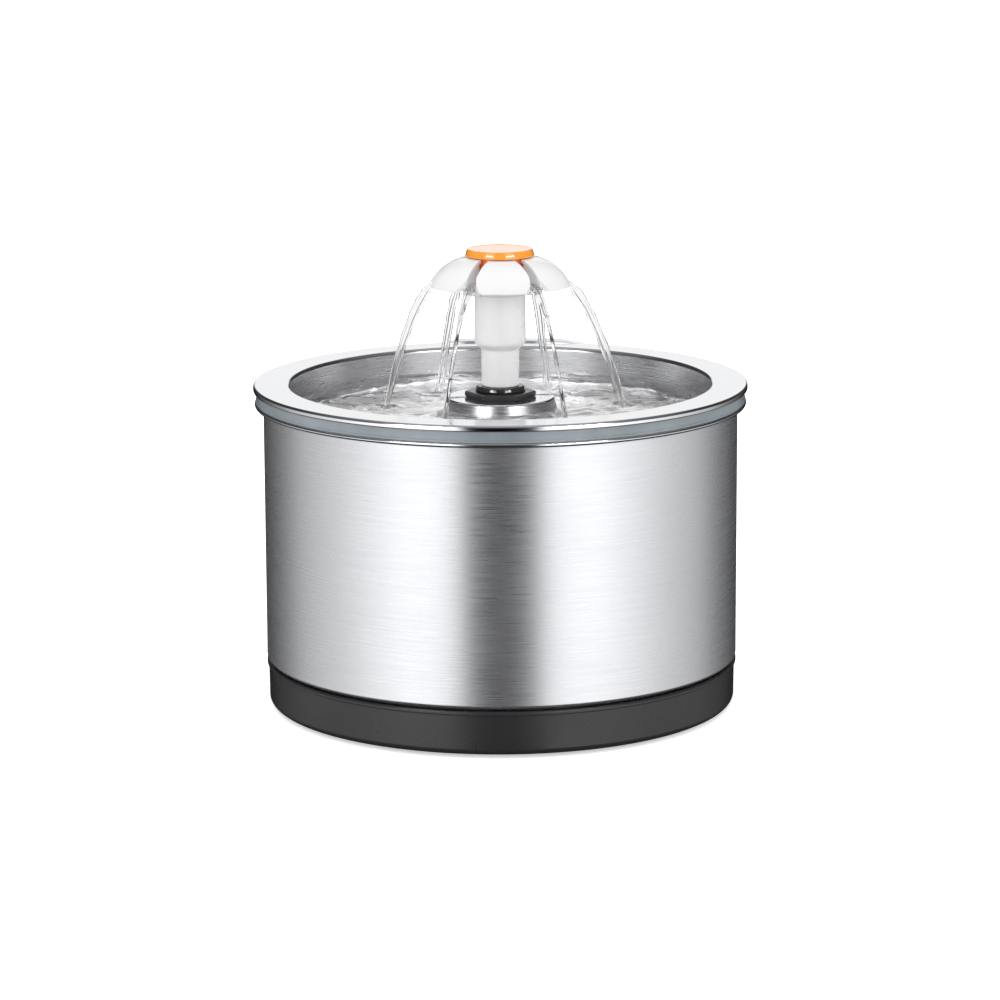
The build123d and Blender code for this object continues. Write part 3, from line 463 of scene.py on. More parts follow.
def steel(name, code, roughness, streak, across_xy, depth, relief=0.35):
    """Stainless sheet with brush lines round the axis, one line per streak in millimetres."""
    material = bpy.data.materials.new(name)
    material.use_nodes = True
    tree = material.node_tree
    shader = tree.nodes["Principled BSDF"]
    place = add(tree, "ShaderNodeTexCoord").outputs["Object"]
    parts = add(tree, "ShaderNodeSeparateXYZ", inputs={"Vector": place})
    flat = add(tree, "ShaderNodeCombineXYZ", inputs={"X": parts.outputs["X"], "Y": parts.outputs["Y"]})
    radius = add(tree, "ShaderNodeVectorMath", {"operation": "LENGTH"}, {0: flat.outputs[0]})
    spread = add(tree, "ShaderNodeMath", {"operation": "MULTIPLY_ADD"}, {
        0: radius.outputs["Value"], 1: across_xy, 2: parts.outputs["Z"]})
    fine = add(tree, "ShaderNodeMath", {"operation": "MULTIPLY"}, {0: spread.outputs[0], 1: 1 / (streak * MM)})
    long_x, long_y = [
        add(tree, "ShaderNodeMath", {"operation": "MULTIPLY"}, {0: parts.outputs[side], 1: 45.0})
        for side in "XY"]
    stretched = add(tree, "ShaderNodeCombineXYZ", inputs={
        "X": long_x.outputs[0], "Y": long_y.outputs[0], "Z": fine.outputs[0]})
    lines = add(tree, "ShaderNodeTexNoise", inputs={
        "Vector": stretched.outputs[0], "Scale": 1.0, "Detail": 3.0, "Roughness": 0.65})
    wide = add(tree, "ShaderNodeTexNoise", inputs={"Vector": place, "Scale": 25.0, "Detail": 2.0})
    tone = add(tree, "ShaderNodeMapRange", inputs={
        "Value": lines.outputs["Fac"], "From Min": 0.3, "From Max": 0.7, "To Min": 1 - depth, "To Max": 1.0})
    base_colour = add(tree, "ShaderNodeMix", {"data_type": "RGBA", "blend_type": "MULTIPLY"}, {
        0: 1.0, 6: colour(code), 7: tone.outputs[0]})
    rough = add(tree, "ShaderNodeMapRange", inputs={
        "Value": lines.outputs["Fac"], "From Min": 0.3, "From Max": 0.7,
        "To Min": roughness - 0.05, "To Max": roughness + 0.06})
    smudged = add(tree, "ShaderNodeMath", {"operation": "MULTIPLY_ADD"}, {
        0: wide.outputs["Fac"], 1: 0.06, 2: rough.outputs[0]})
    bump = add(tree, "ShaderNodeBump", inputs={
        "Height": lines.outputs["Fac"], "Distance": 0.012 * MM, "Strength": relief})
    tree.links.new(base_colour.outputs[2], shader.inputs["Base Color"])
    tree.links.new(smudged.outputs[0], shader.inputs["Roughness"])
    tree.links.new(bump.outputs[0], shader.inputs["Normal"])
    shader.inputs["Metallic"].default_value = 1.0
    return material


def tune(material, values):
    """Set constant inputs of a material's shader."""
    for name, value in values.items():
        material.node_tree.nodes["Principled BSDF"].inputs[name].default_value = value


brushed_steel = steel("brushed_stainless", "#e6e7ea", 0.26, 0.35, 0.0, 0.05)
tune(brushed_steel, {"Metallic": 0.96})


def sheet_outline(corners, sheet, turn_left):
    """Closed outline of a bent sheet: the path of one face, and the other face a sheet away."""
    path = outline(corners, closed=False)
    other = []
    for index, here in enumerate(path):
        before = (here - path[max(index - 1, 0)]).normalized()
        after = (path[min(index + 1, len(path) - 1)] - here).normalized()
        along = (before + after).normalized()
        normal = Vector((-along.y, along.x)) if turn_left else Vector((along.y, -along.x))
        stretch = 1.0 if before.length == 0 or after.length == 0 else 1 / max(0.5, along.dot(after))
        other.append(here + normal * sheet * stretch)
    return path + other[::-1]


polished_steel = steel("polished_stainless", "#edeef0", 0.09, 0.6, 1.0, 0.03)
SHEET = 0.8
flange_radius, tank_low, flange_top = reach("tank")
shell_radius = flange_radius - 3.3
foot_radius = inner_radius - 0.5
shoulder = base_high + 0.7
roll = 0.9
pot = turned("steel_tank", sheet_outline([
    (flange_radius - roll, flange_top - SHEET), (shell_radius, flange_top - SHEET, 0.6),
    (shell_radius, shoulder, 1.4), (foot_radius, shoulder, 0.8), (foot_radius, tank_low, 4.0),
    (0, tank_low)], SHEET, turn_left=False))
rolled_edge = turned("rolled_edge", [
    Vector((flange_radius - roll + roll * cos(step * pi / 12), flange_top - roll + roll * sin(step * pi / 12)))
    for step in range(24)])
joined(pot, rolled_edge)
paint(pot, brushed_steel)
pot.data.materials.append(polished_steel)
for face in pot.data.polygons:
    face.material_index = int(face.center.z > (flange_top - 2.2) * MM)
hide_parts("tank")
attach(pot, "tank_body")

# ---- Silicone seal ----
# A grey-blue silicone ring between the tank's flange and the tray, with a skirt that hangs inside the
# tank. The pump's cord leaves through a small rubber grommet in it, at the back.

silicone = plastic("grey_blue_silicone", "#8f979c", 0.2, grain=0.5, grain_height=0.01, cloud=0.3)
tune(silicone, {"Subsurface Weight": 0.15, "Subsurface Radius": (0.002, 0.002, 0.002)})
seal_radius, seal_low, seal_high = reach("seal_ring")
seal_inner = seal_radius - 5.3
skirt_radius, groove_radius, lower_lip = shell_radius - 1.1, shell_radius + 0.6, seal_radius + 0.2
seal = turned("silicone_seal", outline([
    (seal_inner, seal_low, 0.5), (skirt_radius, seal_low, 0.5), (skirt_radius, flange_top + 0.8, 0.1),
    (groove_radius, flange_top + 0.8, 0.1), (groove_radius, flange_top), (lower_lip, flange_top, 0.3),
    (lower_lip, flange_top + 0.75, 0.3), (seal_radius, flange_top + 1.05, 0.2),
    (seal_radius, flange_top + 2.9, 0.1), (seal_radius, flange_top + 3.4, 0.3),
    (seal_radius, seal_high, 0.5), (seal_inner, seal_high, 0.8)]))
cord_azimuth = 88
hole_height = (flange_top + seal_high) / 2
grommet_radius, hole_half = 2.55, 6
hole = turned("cord_hole", outline([
    (0, -hole_half), (grommet_radius, -hole_half), (grommet_radius, hole_half), (0, hole_half)]), steps=40)
hole.data.transform(
    Matrix.Rotation(radians(cord_azimuth), 4, "Z")
    @ Matrix.Translation((0.0895, 0, hole_height * MM))
    @ Matrix.Rotation(radians(90), 4, "Y"))
cut = seal.modifiers.new("cord_hole", "BOOLEAN")
cut.object = hole
bake(seal)
bpy.data.objects.remove(hole)
paint(seal, silicone)
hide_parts("seal_ring")
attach(seal, "tank_body")

# ---- Drinking tray ----
# A tray pressed from the same sheet: turned-down rim, deep ring-shaped basin and a raised boss with
# return slots and two vents. Rim and boss top are polished, the walls satin and the floor is blasted.

satin_steel = steel("satin_stainless", "#e4e4e6", 0.25, 0.6, 1.0, 0.02, 0.05)
blasted_steel = steel("blasted_stainless", "#f2f2f3", 0.14, 0.6, 1.0, 0.02, 0.05)
tune(blasted_steel, {"Metallic": 0.82})
rim_radius = 94.0
rim_drop, rim_width = 2.3, 13.8
basin_radius = rim_radius - 16.2
tray_top = seal_high + SHEET
tray_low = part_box("drinking_tray")[0].z / MM
basin_floor = tray_low + SHEET
boss_height = 19.2
boss_foot, boss_shoulder, boss_edge = 21.9, 21.5, 20.5
boss_top = basin_floor + boss_height
tray_path = [
    (rim_radius, tray_top - rim_drop), (rim_radius, tray_top, 1.0), (rim_radius - rim_width, tray_top, 1.5),
    (basin_radius, basin_floor, 6.0), (boss_foot, basin_floor, 3.0), (boss_shoulder, boss_top - 4.2, 2.0),
    (boss_edge, boss_top, 1.0), (8.3, boss_top)]
tray_outline = sheet_outline(tray_path, SHEET, turn_left=True)
hem = 0.5
while tray_outline[0].y < tray_top - rim_drop + hem:
    tray_outline.pop(0)
hem_arc = [
    Vector((rim_radius - hem + hem * sin(turning), tray_top - rim_drop + hem - hem * cos(turning)))
    for turning in [step * pi / 10 for step in range(6)]]
tray = turned("drinking_tray_steel", hem_arc + tray_outline, steps=288)

slot_round, slot_straight, slot_drop, slot_steps = 1.25, 3.25, 5.2, 24
slot_cutter = []
for step in range(slot_steps):
    angle = 2 * pi * step / slot_steps
    end_middle = slot_straight if cos(angle) > 0 else -slot_straight
    slot_cutter.append((slot_round * cos(angle) + end_middle, slot_round * sin(angle)))
slot_points = [
    (x, across, boss_top - slot_drop + rise) for x in (18.0, 25.0) for across, rise in slot_cutter]
slot_faces = [tuple(range(slot_steps - 1, -1, -1)), tuple(range(slot_steps, 2 * slot_steps))]
for step in range(slot_steps):
    after = (step + 1) % slot_steps
    slot_faces.append((step, after, slot_steps + after, slot_steps + step))
return_slot = repeated(solid("return_slot", slot_points, slot_faces), 6, 0)
vent_radius, vent_place, vent_azimuth = 1.75, 18.3, 9
vent_low, vent_high = boss_top - 2, boss_top + 1
vent = turned("vent", outline([
    (0, vent_low), (vent_radius, vent_low), (vent_radius, vent_high), (0, vent_high)]), steps=32)
vent.data.transform(Matrix.Translation((vent_place * MM, 0, 0)))
repeated(vent, 2, vent_azimuth)
joined(return_slot, vent)
holes = tray.modifiers.new("holes", "BOOLEAN")
holes.object = return_slot
bake(tray)
bpy.data.objects.remove(return_slot)

# The lip over the cord's notch is pressed up out of the rim and ramps down at both ends.
lip_points = []
lip_faces = []
lip_left, lip_right, lip_ramp, lip_height = -17.0, 26.6, 8.0, 1.15
lip_outer = rim_radius - 0.15
profile = [(0, -0.6), (0, 0.8), (0.1, 0.95), (0.3, 1.0), (3.4, 0.5), (3.65, 0.46), (3.8, 0.36), (3.8, -0.6)]
stations = 96
for station in range(stations + 1):
    x = lip_left - lip_ramp + (lip_right - lip_left + 2 * lip_ramp) * station / stations
    rise = min(1.0, (x - lip_left + lip_ramp) / lip_ramp, (lip_right + lip_ramp - x) / lip_ramp)
    angle = pi / 2 - asin(x / lip_outer)
    for inwards, share in profile:
        r = lip_outer - inwards
        z = tray_top + (lip_height * rise * share if share > 0 else share)
        lip_points.append((r * cos(angle), r * sin(angle), z))
width = len(profile)
for station in range(stations):
    for k in range(width):
        a, b = station * width + k, station * width + (k + 1) % width
        lip_faces.append((a, b, b + width, a + width))
lip_faces += [tuple(range(width)), tuple(range(stations * width, (stations + 1) * width))]
lip = solid("cord_lip", lip_points, lip_faces)
joined(tray, lip)
paint(tray, polished_steel)
tray.data.materials.append(satin_steel)
tray.data.materials.append(blasted_steel)
for face in tray.data.polygons:
    from_axis = hypot(face.center.x, face.center.y) / MM
    boss_wall = 20 < from_axis < 24 and face.center.z < (boss_top - 0.5) * MM
    basin_wall = rim_radius - 20 < from_axis < rim_radius - 14.5
    on_floor = 24 < from_axis < rim_radius - 19 and face.center.z < (basin_floor + 2) * MM
    face.material_index = 2 if on_floor else int(boss_wall or basin_wall)
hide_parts("drinking_tray")
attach(tray, "tray_body")

# ---- Lock nut and rubber collar ----
# A black glass-filled nylon nut clamps the tray, one flat to the front, and a soft rubber ring on it
# seals the stem. The nut is satin, the rubber smooth and glossier, with a flat round its side.

black_nylon = plastic("satin_black_nylon", "#3a3a3c", 0.2)
nut_low, nut_high = (corner.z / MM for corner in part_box("lock_nut"))
nut_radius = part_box("lock_nut")[1].x / MM
hexagon = [(nut_radius * cos(k * pi / 3), nut_radius * sin(k * pi / 3)) for k in range(6)]
nut_points = [(x, y, z) for z in (nut_low, nut_high) for x, y in hexagon]
nut_faces = [tuple(range(5, -1, -1)), tuple(range(6, 12))]
nut_faces += [(k, (k + 1) % 6, 6 + (k + 1) % 6, 6 + k) for k in range(6)]
nut = solid("hex_lock_nut", nut_points, nut_faces)
nut_bore, nut_face, blank_radius = 8.05, nut_radius - 0.7, nut_radius + 0.05
blank = turned("nut_blank", outline([
    (nut_bore, nut_low - 0.01), (nut_face, nut_low - 0.01), (blank_radius, nut_low + 0.4),
    (blank_radius, nut_high - 0.4), (nut_face, nut_high + 0.01), (nut_bore, nut_high + 0.01)]), steps=96)


def soften(piece, width, sharpness, segments):
    """Round the edges sharper than an angle in degrees, by a width in millimetres."""
    soft_edges = piece.modifiers.new("soft_edges", "BEVEL")
    soft_edges.width = width * MM
    soft_edges.segments = segments
    soft_edges.limit_method = "ANGLE"
    soft_edges.angle_limit = radians(sharpness)
    return bake(piece)


chamfers = nut.modifiers.new("chamfers", "BOOLEAN")
chamfers.operation = "INTERSECT"
chamfers.object = blank
soften(nut, 0.18, 25, 2)
bpy.data.objects.remove(blank)
paint(nut, black_nylon)
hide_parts("lock_nut")
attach(nut, "tray_body")

black_rubber = plastic("black_rubber", "#303032", 0.08, grain=0.4, grain_height=0.01)
collar_radius, collar_low, collar_high = reach("rubber_collar")
nose_bore = 5.9
collar = turned("collar_ring", outline([
    (nose_bore, collar_low), (collar_radius - 0.05, collar_low, 0.5), (collar_radius, collar_low + 0.68, 0.1),
    (collar_radius - 0.35, collar_low + 1.72, 0.1), (collar_radius - 1.0, collar_high, 0.2),
    (nose_bore, collar_high)]), steps=128)
paint(collar, black_rubber)
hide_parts("rubber_collar")
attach(collar, "tray_body")

# ---- Stem ----
# A white polypropylene tube, moulded in one: a neck over the spigot's nose, a taper and a wide barrel
# that plugs into the flower. Its gloss white is a shade lighter than the petals': painted light, which
# makes up for the light that falls more on the petals than on the stem.

white_stem = plastic("gloss_white_polypropylene", "#f8f8f8", 0.28, grain=0.6, grain_height=0.004)
barrel_radius, stem_low, stem_high = reach("spout_stem")
head_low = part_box("flower_head")[0].z / MM
taper_low, barrel_low = stem_low + 14.1, stem_low + 16.5
neck_radius, plug_radius, barrel_bore, water_bore, nose_top = 7.2, 8.85, 7.15, 4.8, 133.4
stem = turned("white_stem", outline([
    (nose_bore, stem_low), (neck_radius, stem_low, 0.6), (neck_radius, taper_low, 1.2),
    (barrel_radius, barrel_low, 2.0), (barrel_radius, head_low), (plug_radius, head_low),
    (plug_radius, stem_high, 0.5), (barrel_bore, stem_high), (barrel_bore, barrel_low),
    (water_bore, nose_top), (nose_bore, nose_top)]), steps=128)
paint(stem, white_stem)
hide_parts("spout_stem")
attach(stem, "spout_body")

# ---- Flower head ----
# One moulding of glossy white ABS: six domed petals on a hub, with a sloping water channel in each
# gap between them. The water rises into the open middle, runs down the channels and leaps off.

# The petals' white is set darker than the stem's: painted shade against the stronger light on them.
white_abs = plastic("gloss_white_abs", "#e8e8e9", 0.22, grain=0.6, grain_height=0.004)
petal_count = 6
flower_turn = 3.0
petal_reach = 26.9
gap_half = 1.8
corner_radius = 4.0
crest_radius = 9.3
crest = head_low + 14.65
petal_drop, petal_edge, petal_wall = 11.05, 0.4, 1.3
tip = crest - petal_drop
run = petal_reach - crest_radius
dome = (run ** 2 + (petal_drop - petal_edge) ** 2) / (2 * (petal_drop - petal_edge))
half_step = pi / petal_count


def inside_petal(r, angle):
    """True if a point lies in the petal's plan, its corners rounded."""
    gap = r * sin(half_step - abs(angle)) - gap_half
    if r > petal_reach or gap < 0:
        return False
    if gap >= corner_radius or r <= petal_reach - corner_radius:
        return True
    corner = petal_reach - corner_radius
    corner_angle = half_step - asin((gap_half + corner_radius) / corner)
    if abs(angle) < corner_angle:
        return True
    from_corner = sqrt(r ** 2 + corner ** 2 - 2 * r * corner * cos(abs(angle) - corner_angle))
    outside = r * cos(abs(angle) - half_step) > corner * cos(corner_angle - half_step)
    return not outside or from_corner <= corner_radius


def petal_angle(r, share):
    """Azimuth of a point at a radius, share of the way from the petal's middle to its side."""
    return share * (half_step - asin(gap_half / r))


def petal_end(share):
    """Radius at which one line of the petal meets its outer edge."""
    low, high = 12.0, petal_reach
    for _ in range(30):
        middle = (low + high) / 2
        if inside_petal(middle, petal_angle(middle, share) * 0.99999):
            low = middle
        else:
            high = middle
    return low


across, along = 30, 22
petal_points = []
inner_start = 12.0
for surface, radius in (("top", dome), ("under", dome - petal_wall)):
    for i in range(across + 1):
        share = sin(pi / 2 * (2 * i / across - 1))
        end = petal_end(share)
        if surface == "under":
            end = min(end, crest_radius + sqrt(radius ** 2 - (tip - crest + dome) ** 2))
        for j in range(along + 1):
            r = inner_start + (end - inner_start) * sin(pi / 2 * j / along)
            angle = petal_angle(r, share)
            z = max(tip, crest - dome + sqrt(radius ** 2 - (r - crest_radius) ** 2))
            petal_points.append((r * cos(angle), r * sin(angle), z))
edge_start = len(petal_points)
rows = along + 1
for i in range(across + 1):
    x, y, z = petal_points[i * rows + along]
    bottom_z = petal_points[edge_start // 2 + i * rows + along][2]
    petal_points.append((x, y, max(tip, min(bottom_z, z - petal_edge))))
petal_faces = []
under = edge_start // 2
for i in range(across):
    for j in range(along):
        a = i * rows + j
        petal_faces.append((a, a + rows, a + rows + 1, a + 1))
        petal_faces.append((under + a, under + a + 1, under + a + rows + 1, under + a + rows))
    a, b = i * rows + along, (i + 1) * rows + along
    petal_faces.append((a, b, edge_start + i + 1, edge_start + i))
    petal_faces.append((edge_start + i, edge_start + i + 1, under + b, under + a))
    petal_faces.append((i * rows, under + i * rows, under + (i + 1) * rows, (i + 1) * rows))
for i in (0, across):
    for j in range(along):
        a = i * rows + j
        petal_faces.append((a, a + 1, under + a + 1, under + a))
    petal_faces.append((i * rows + along, edge_start + i, under + i * rows + along))
petals = solid("petals", petal_points, petal_faces)
soften(petals, 0.28, 38, 3)

channel_start, channel_end, lip_reach = head_low + 7.5, head_low + 3.7, 24.3
channel_first, channel_head, guide_inside, guide_outside = 9.6, 10.3, 2.2, 3.4
channel_points = []
channel_faces = []
lengths = 24
middle_arc = dome - petal_wall / 2
for step in range(lengths + 1):
    r = channel_first + (lip_reach - channel_first) * step / lengths
    water_floor = channel_start + (
        channel_end - channel_start) * (r - channel_head) / (lip_reach - channel_head)
    ceiling = crest - dome + sqrt(middle_arc ** 2 - max(0.0, r - crest_radius) ** 2)
    if r < 12.2:
        ceiling = head_low + 8.9
    half_section = [(guide_outside, water_floor - 1.2), (guide_outside, ceiling), (guide_inside, ceiling),
                    (guide_inside, water_floor)]
    channel_points += [(r, -y, z) for y, z in half_section] + [(r, y, z) for y, z in half_section[::-1]]
for step in range(lengths):
    for k in range(8):
        a, b = step * 8 + k, step * 8 + (k + 1) % 8
        channel_faces.append((a, b, b + 8, a + 8))
for first in (0, lengths * 8):
    for end_face in ((0, 1, 2, 3), (0, 3, 4, 7), (4, 5, 6, 7)):
        channel_faces.append(tuple(first + corner for corner in end_face))
channels = solid("channels", channel_points, channel_faces)
soften(channels, 0.3, 50, 3)
for shape, first in ((petals, 30 + flower_turn), (channels, flower_turn)):
    shape.data.shade_smooth()
    shape.data.set_sharp_from_angle(angle=radians(50))
    repeated(shape, petal_count, first, white_abs)
core_bore, plenum_radius = 11.75, 10.3
hub_radius = core_bore + 1.2
plug_bore_radius, hub_high = 8.95, head_low + 8.9
hub = turned("hub", outline([
    (plug_bore_radius, head_low), (9.75, head_low, 0.3), (hub_radius, head_low + 5.3, 2.0),
    (hub_radius, head_low + 6.2), (core_bore, head_low + 6.6), (core_bore, hub_high),
    (plenum_radius, hub_high), (plenum_radius, head_low + 3.9), (plug_bore_radius, head_low + 3.9)]), steps=96)
joined(petals, channels, hub)
petals.name = "flower_petals"
paint(petals, white_abs)
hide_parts("flower_head")
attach(petals, "spout_body")

# ---- Flower centre ----
# A dished orange cap on a hollow plug, moulded in glossy acetal. It closes the middle of the flower
# and makes the water leave through the channels. Thin edges let a little light through.

orange = plastic("gloss_orange_acetal", "#ffa038", 0.16, grain=0.6, grain_height=0.003)
orange_shader = orange.node_tree.nodes["Principled BSDF"]
tune(orange, {"Coat Weight": 1.0, "Coat Roughness": 0.08, "Coat IOR": 1.6,
              "Subsurface Weight": 0.15, "Subsurface Radius": (0.004, 0.002, 0.0008)})
centre_low, cap_high = (corner.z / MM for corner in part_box("flower_centre"))
cap_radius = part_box("flower_centre")[1].x / MM
cap_height, cap_taper, plug_bore = 2.7, 0.8, 10.15
cap_low = cap_high - cap_height
# Below the cap the plug fades to a deeper orange: painted shade, for the shade under the cap and petals.
plug_place = add(orange.node_tree, "ShaderNodeTexCoord").outputs["Object"]
plug_height = add(orange.node_tree, "ShaderNodeSeparateXYZ", inputs={"Vector": plug_place}).outputs["Z"]
on_cap = add(orange.node_tree, "ShaderNodeMapRange", inputs={
    "Value": plug_height, "From Min": (cap_low - 0.5) * MM, "From Max": cap_low * MM})
cap_colour = orange_shader.inputs["Base Color"].links[0].from_socket
plug_painted_shade = add(orange.node_tree, "ShaderNodeMix", {"data_type": "RGBA"}, {
    0: on_cap.outputs[0], 6: colour("#ee7326"), 7: cap_colour})
orange.node_tree.links.new(plug_painted_shade.outputs[2], orange_shader.inputs["Base Color"])
crown = 0.1
crowned_side = [(cap_radius - crown, cap_low, 0.25)]
for step in range(1, 8):
    share = step / 8
    bulge = 4 * crown * share * (1 - share)
    crowned_side.append((cap_radius - crown - cap_taper * share + bulge, cap_low + cap_height * share))
crowned_side.append((cap_radius - 0.9, cap_high, 0.35))
centre = turned("orange_centre", outline([
    (plug_bore, centre_low), (11.65, centre_low, 0.5), (11.65, cap_low), *crowned_side,
    (cap_radius - 1.95, cap_high, 0.3), (cap_radius - 3.2, cap_high - 0.2, 1.0), (0, cap_high - 0.2),
    (0, cap_low - 0.75), (plug_bore, cap_low - 0.75, 1.0)]), steps=160)
paint(centre, orange)
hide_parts("flower_centre")
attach(centre, "centre_body")

# ---- Water ----
# Clear water: it stands in the basin, ringed by ripples where six jets fall into it. Each jet leaves
# a channel's lip as a flat ribbon with a thicker strand along each edge, and twists as it falls.

water = bpy.data.materials.new("clear_water")
water.use_nodes = True
tune(water, {"Base Color": (1, 1, 1, 1), "Transmission Weight": 1.0, "IOR": 1.333, "Roughness": 0.0})

water_level = boss_top - 3.85
landings = {3: 46.5, 63: 40.5, 123: 43.5, 183: 43.5, 243: 45.5, 303: 44.5}
landing_places = [(r * cos(radians(a)), r * sin(radians(a))) for a, r in landings.items()]


def ripple(x, y, z):
    """Height of the water: a mound and rings about each landing, on a slow choppy swell."""
    if abs(z - water_level) > 1e-3:
        return z
    from_axis = hypot(x, y)
    edge = max(0.0, min(1.0, (79.2 - from_axis) / 4, (from_axis - 21.3) / 9))
    rise = 1.3 * noise.noise(Vector((x, y, 3.0)) / 12) + 0.6 * noise.noise(Vector((x, y, 9.0)) / 5.5)
    rise += 0.2 * noise.noise(Vector((x, y, 5.0)) / 2.8)
    for px, py in landing_places:
        away = hypot(x - px, y - py)
        if away > 30:
            continue
        broken = 0.5 + 1.1 * noise.noise(Vector((x, y, 7.0)) / 3.2)
        rise += 0.9 * exp(-((away / 1.6) ** 2)) - 0.9 * broken * exp(-(((away - 2.8) / 1.1) ** 2))
        rings = 0.16 * exp(-away / 12) * cos(2 * pi * away / 5.5)
        rise += 0.5 * broken * exp(-(((away - 4.8) / 1.3) ** 2)) + rings
    return z + rise * edge


basin_draft, boss_draft = 2.4, 0.5
wall_at_water = basin_radius + basin_draft * (water_level - basin_floor) / (tray_top - basin_floor)
boss_at_water = boss_foot - boss_draft * (water_level - basin_floor) / boss_height
sunk = 0.25
surface_steps = 150
water_width = wall_at_water - boss_at_water + 2 * sunk
water_outline = [
    Vector((boss_at_water - sunk + water_width * step / surface_steps, water_level))
    for step in range(surface_steps + 1)]
water_outline += outline([
    (wall_at_water + sunk, water_level), (basin_radius + sunk, basin_floor - sunk, 6.0),
    (boss_foot - sunk, basin_floor - sunk, 3.0), (boss_at_water - sunk, water_level)], closed=False)[1:-1]
pool = turned("pool", water_outline, steps=480, lift=ripple)
paint(pool, water)
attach(pool, "tray_body")

jet_tree, jet_input = group("ribbon_of_water", (
    ("Half Width", "Float"), ("Strand", "Float"), ("Web", "Float"), ("Material", "Material")))
circle = add(jet_tree, "GeometryNodeCurvePrimitiveCircle", inputs={"Resolution": 56, "Radius": 1.0})
at = add(jet_tree, "ShaderNodeSeparateXYZ", inputs={
    "Vector": add(jet_tree, "GeometryNodeInputPosition").outputs[0]})
made = {"x": at.outputs["X"], "y": at.outputs["Y"], "half_width": jet_input.outputs["Half Width"],
        "strand": jet_input.outputs["Strand"], "web": jet_input.outputs["Web"]}
for result, operation, *operands in (
        ("breadth", "MULTIPLY", "x", "half_width"),
        ("from_middle", "ABSOLUTE", "breadth"),
        ("strand_middle", "SUBTRACT", "half_width", "strand"),
        ("from_strand", "SUBTRACT", "from_middle", "strand_middle"),
        ("strand_square", "POWER", "strand", 2.0),
        ("off_square", "MULTIPLY", "from_strand", "from_strand"),
        ("chord_square", "SUBTRACT", "strand_square", "off_square"),
        ("positive", "MAXIMUM", "chord_square", 0.0),
        ("chord", "SQRT", "positive"),
        ("between_strands", "LESS_THAN", "from_strand", 0.0),
        ("web_here", "MULTIPLY", "between_strands", "web"),
        ("thickness", "MAXIMUM", "chord", "web_here"),
        ("face_side", "SIGN", "y"),
        ("depth", "MULTIPLY", "face_side", "thickness")):
    made[result] = add(jet_tree, "ShaderNodeMath", {"operation": operation}, {
        place: made.get(operand, operand) for place, operand in enumerate(operands)}).outputs[0]
ribbon_place = add(jet_tree, "ShaderNodeCombineXYZ", inputs={"X": made["breadth"], "Y": made["depth"]})
section = add(jet_tree, "GeometryNodeSetPosition", inputs={
    "Geometry": circle.outputs[0], "Position": ribbon_place.outputs[0]})
ribbon_scale = add(jet_tree, "GeometryNodeInputRadius")
swept = add(jet_tree, "GeometryNodeCurveToMesh", inputs={
    "Curve": jet_input.outputs["Geometry"], "Profile Curve": section.outputs[0], "Fill Caps": True})
jet_tree.links.new(ribbon_scale.outputs[0], swept.inputs["Scale"])
soft = add(jet_tree, "GeometryNodeSetShadeSmooth", inputs={"Geometry": swept.outputs[0]})
whole = add(jet_tree, "GeometryNodeRealizeInstances", inputs={"Geometry": soft.outputs[0]})
watery = add(jet_tree, "GeometryNodeSetMaterial", inputs={
    "Geometry": whole.outputs[0], "Material": jet_input.outputs["Material"]})
add(jet_tree, "NodeGroupOutput", inputs={"Geometry": watery.outputs[0]})


def jet(name, azimuth, landing, tilt, twist):
    """One jet: along its channel, over the lip and down, tilted and swollen point by point."""
    curve = bpy.data.curves.new(name, "CURVE")
    curve.dimensions = "3D"
    curve.twist_mode = "Z_UP"
    spline = curve.splines.new("POLY")
    samples = 120
    spline.points.add(samples - 1)
    first, lip_height = 18.5, channel_end + 0.95
    drop, leap = lip_height - water_level, landing - lip_reach
    lip_slope = 0.55
    bend = (drop - lip_slope * leap) / leap ** 2
    last = landing + 0.6
    for index, point in enumerate(spline.points):
        t = index / (samples - 1)
        r = first + (last - first) * t ** 0.85
        over = r - lip_reach
        if over < 0:
            z = lip_height - over * (channel_start - channel_end) / (lip_reach - channel_head)
        else:
            z = lip_height - lip_slope * over - bend * over ** 2
        fall = max(0.0, over / leap)
        sway = 0.6 * fall * noise.noise(Vector((azimuth, 5 * fall, 1.7)))
        place = Matrix.Rotation(radians(azimuth), 3, "Z") @ Vector((r, sway, z))
        point.co = (*(place * MM), 1)
        wander = noise.noise(Vector((azimuth, 7 * fall, 4.2)))
        point.tilt = min(1.0, 4 * fall) * tilt + twist * fall + 0.5 * fall * wander
        swell = 0.26 * noise.noise(Vector((azimuth, 11 * fall, 8.8))) * min(1.0, 5 * fall)
        point.radius = min(1.0, 0.35 + 0.2 * index) * (1.1 - 0.35 * fall ** 0.6) + swell
    piece = bpy.data.objects.new(name, curve)
    scene.collection.objects.link(piece)
    run_group(piece, jet_tree, {
        "Half Width": 2.0 * MM, "Strand": 0.72 * MM, "Web": 0.3 * MM, "Material": water})
    mesh = plain_mesh(piece)
    bpy.data.objects.remove(piece)
    ribbon = bpy.data.objects.new(name, mesh)
    scene.collection.objects.link(ribbon)
    return ribbon


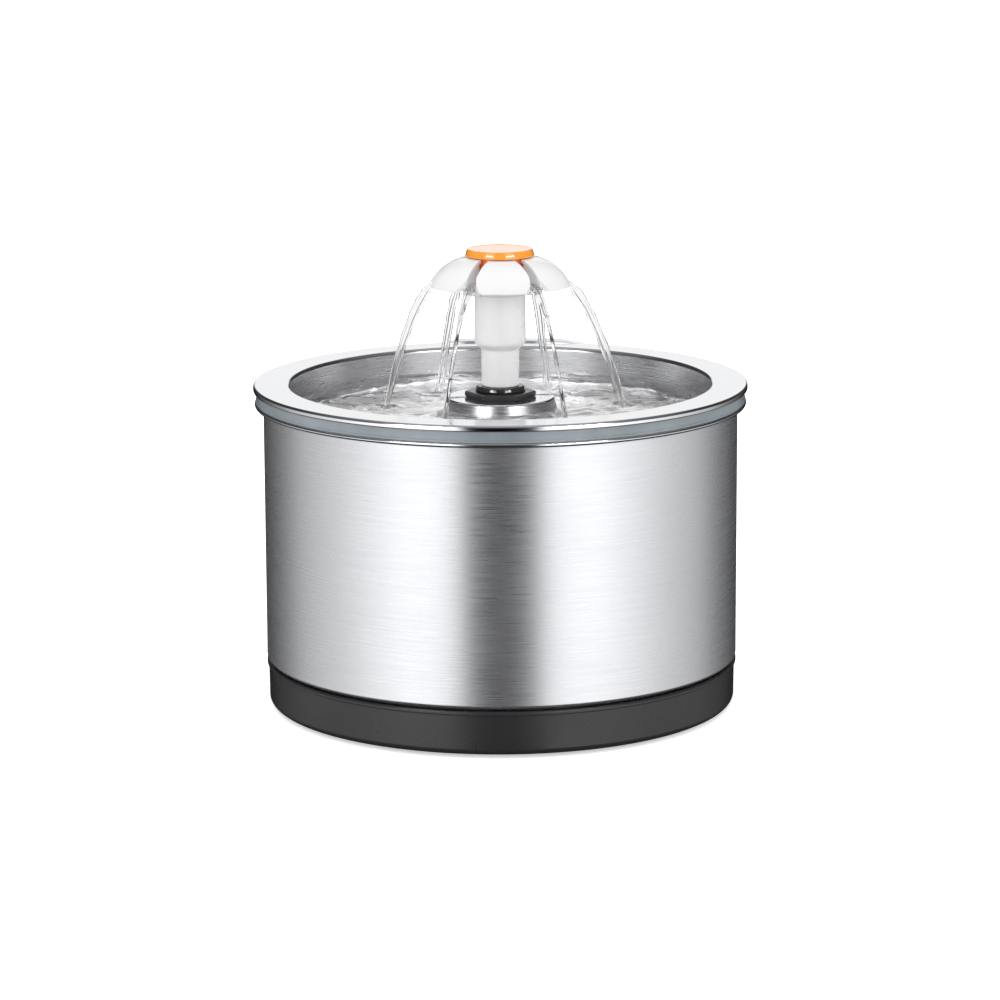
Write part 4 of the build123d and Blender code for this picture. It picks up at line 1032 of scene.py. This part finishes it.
tilts = {
    3: (0.9, 1.3), 63: (0.2, -1.0), 123: (-0.3, 1.2), 183: (-0.9, -1.3), 243: (0.3, 1.2), 303: (-0.2, -1.2)}
for number_of_jet, (azimuth_of_jet, landing_radius) in enumerate(landings.items()):
    ribbon = jet(f"jet_{number_of_jet + 1}", azimuth_of_jet, landing_radius, *tilts[azimuth_of_jet])
    paint(ribbon, water)
    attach(ribbon, "tray_body")
    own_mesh(ribbon)

# ---- Pieces out of sight ----
# What hangs under the tray and inside the pump keeps its CAD form: black mouldings, milky filter
# parts, a felt pouch, granules, laminations, copper and ferrite.

milky = plastic("milky_polypropylene", "#dde1e4", 0.36)
ferrite = plastic("sintered_ferrite", "#2e2e30", 0.6, grain=0.4, grain_height=0.05)
copper = plastic("enamelled_copper", "#a8562c", 0.3, grain=0.3, grain_height=0.05)
felt = plastic("white_felt", "#e4e3de", 0.85, grain=0.8, grain_height=0.3)
charcoal = plastic("carbon_granules", "#141414", 0.5, grain=1.6, grain_height=0.8)
beads = plastic("resin_beads", "#c78a3c", 0.35, grain=0.9, grain_height=0.4)
foam = plastic("black_foam", "#1b1b1c", 0.9, grain=0.8, grain_height=0.6)
clear_rubber = plastic("grey_silicone_rubber", "#a4a8ac", 0.4)
ceramic = plastic("alumina_ceramic", "#ebe9e2", 0.3)
matt_rubber = plastic("matt_black_rubber", "#202021", 0.6)
laminations = steel("silicon_steel_laminations", "#8a8a8c", 0.4, 0.5, 0.0, 0.25)

hidden_finishes = {
    black_abs: ["threaded_spigot", "riser_pipe", "pump_housing", "pump_back_plate", "impeller_cover",
                "intake_cage"],
    milky: ["filter_basket", "filter_lid", "impeller", "flow_slider"],
    ferrite: ["rotor_magnet"],
    copper: ["stator_coil"],
    felt: ["filter_pouch"],
    charcoal: ["carbon_bed"],
    beads: ["resin_bed"],
    foam: ["intake_foam"],
    clear_rubber: ["suction_cups", "boss_washer"],
    ceramic: ["rotor_shaft"],
    matt_rubber: ["rubber_feet", "cord_grommet", "rear_bush", "front_bush"],
    laminations: ["stator_core"],
}
for material, names in hidden_finishes.items():
    for name in names:
        paint(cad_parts[name], material)
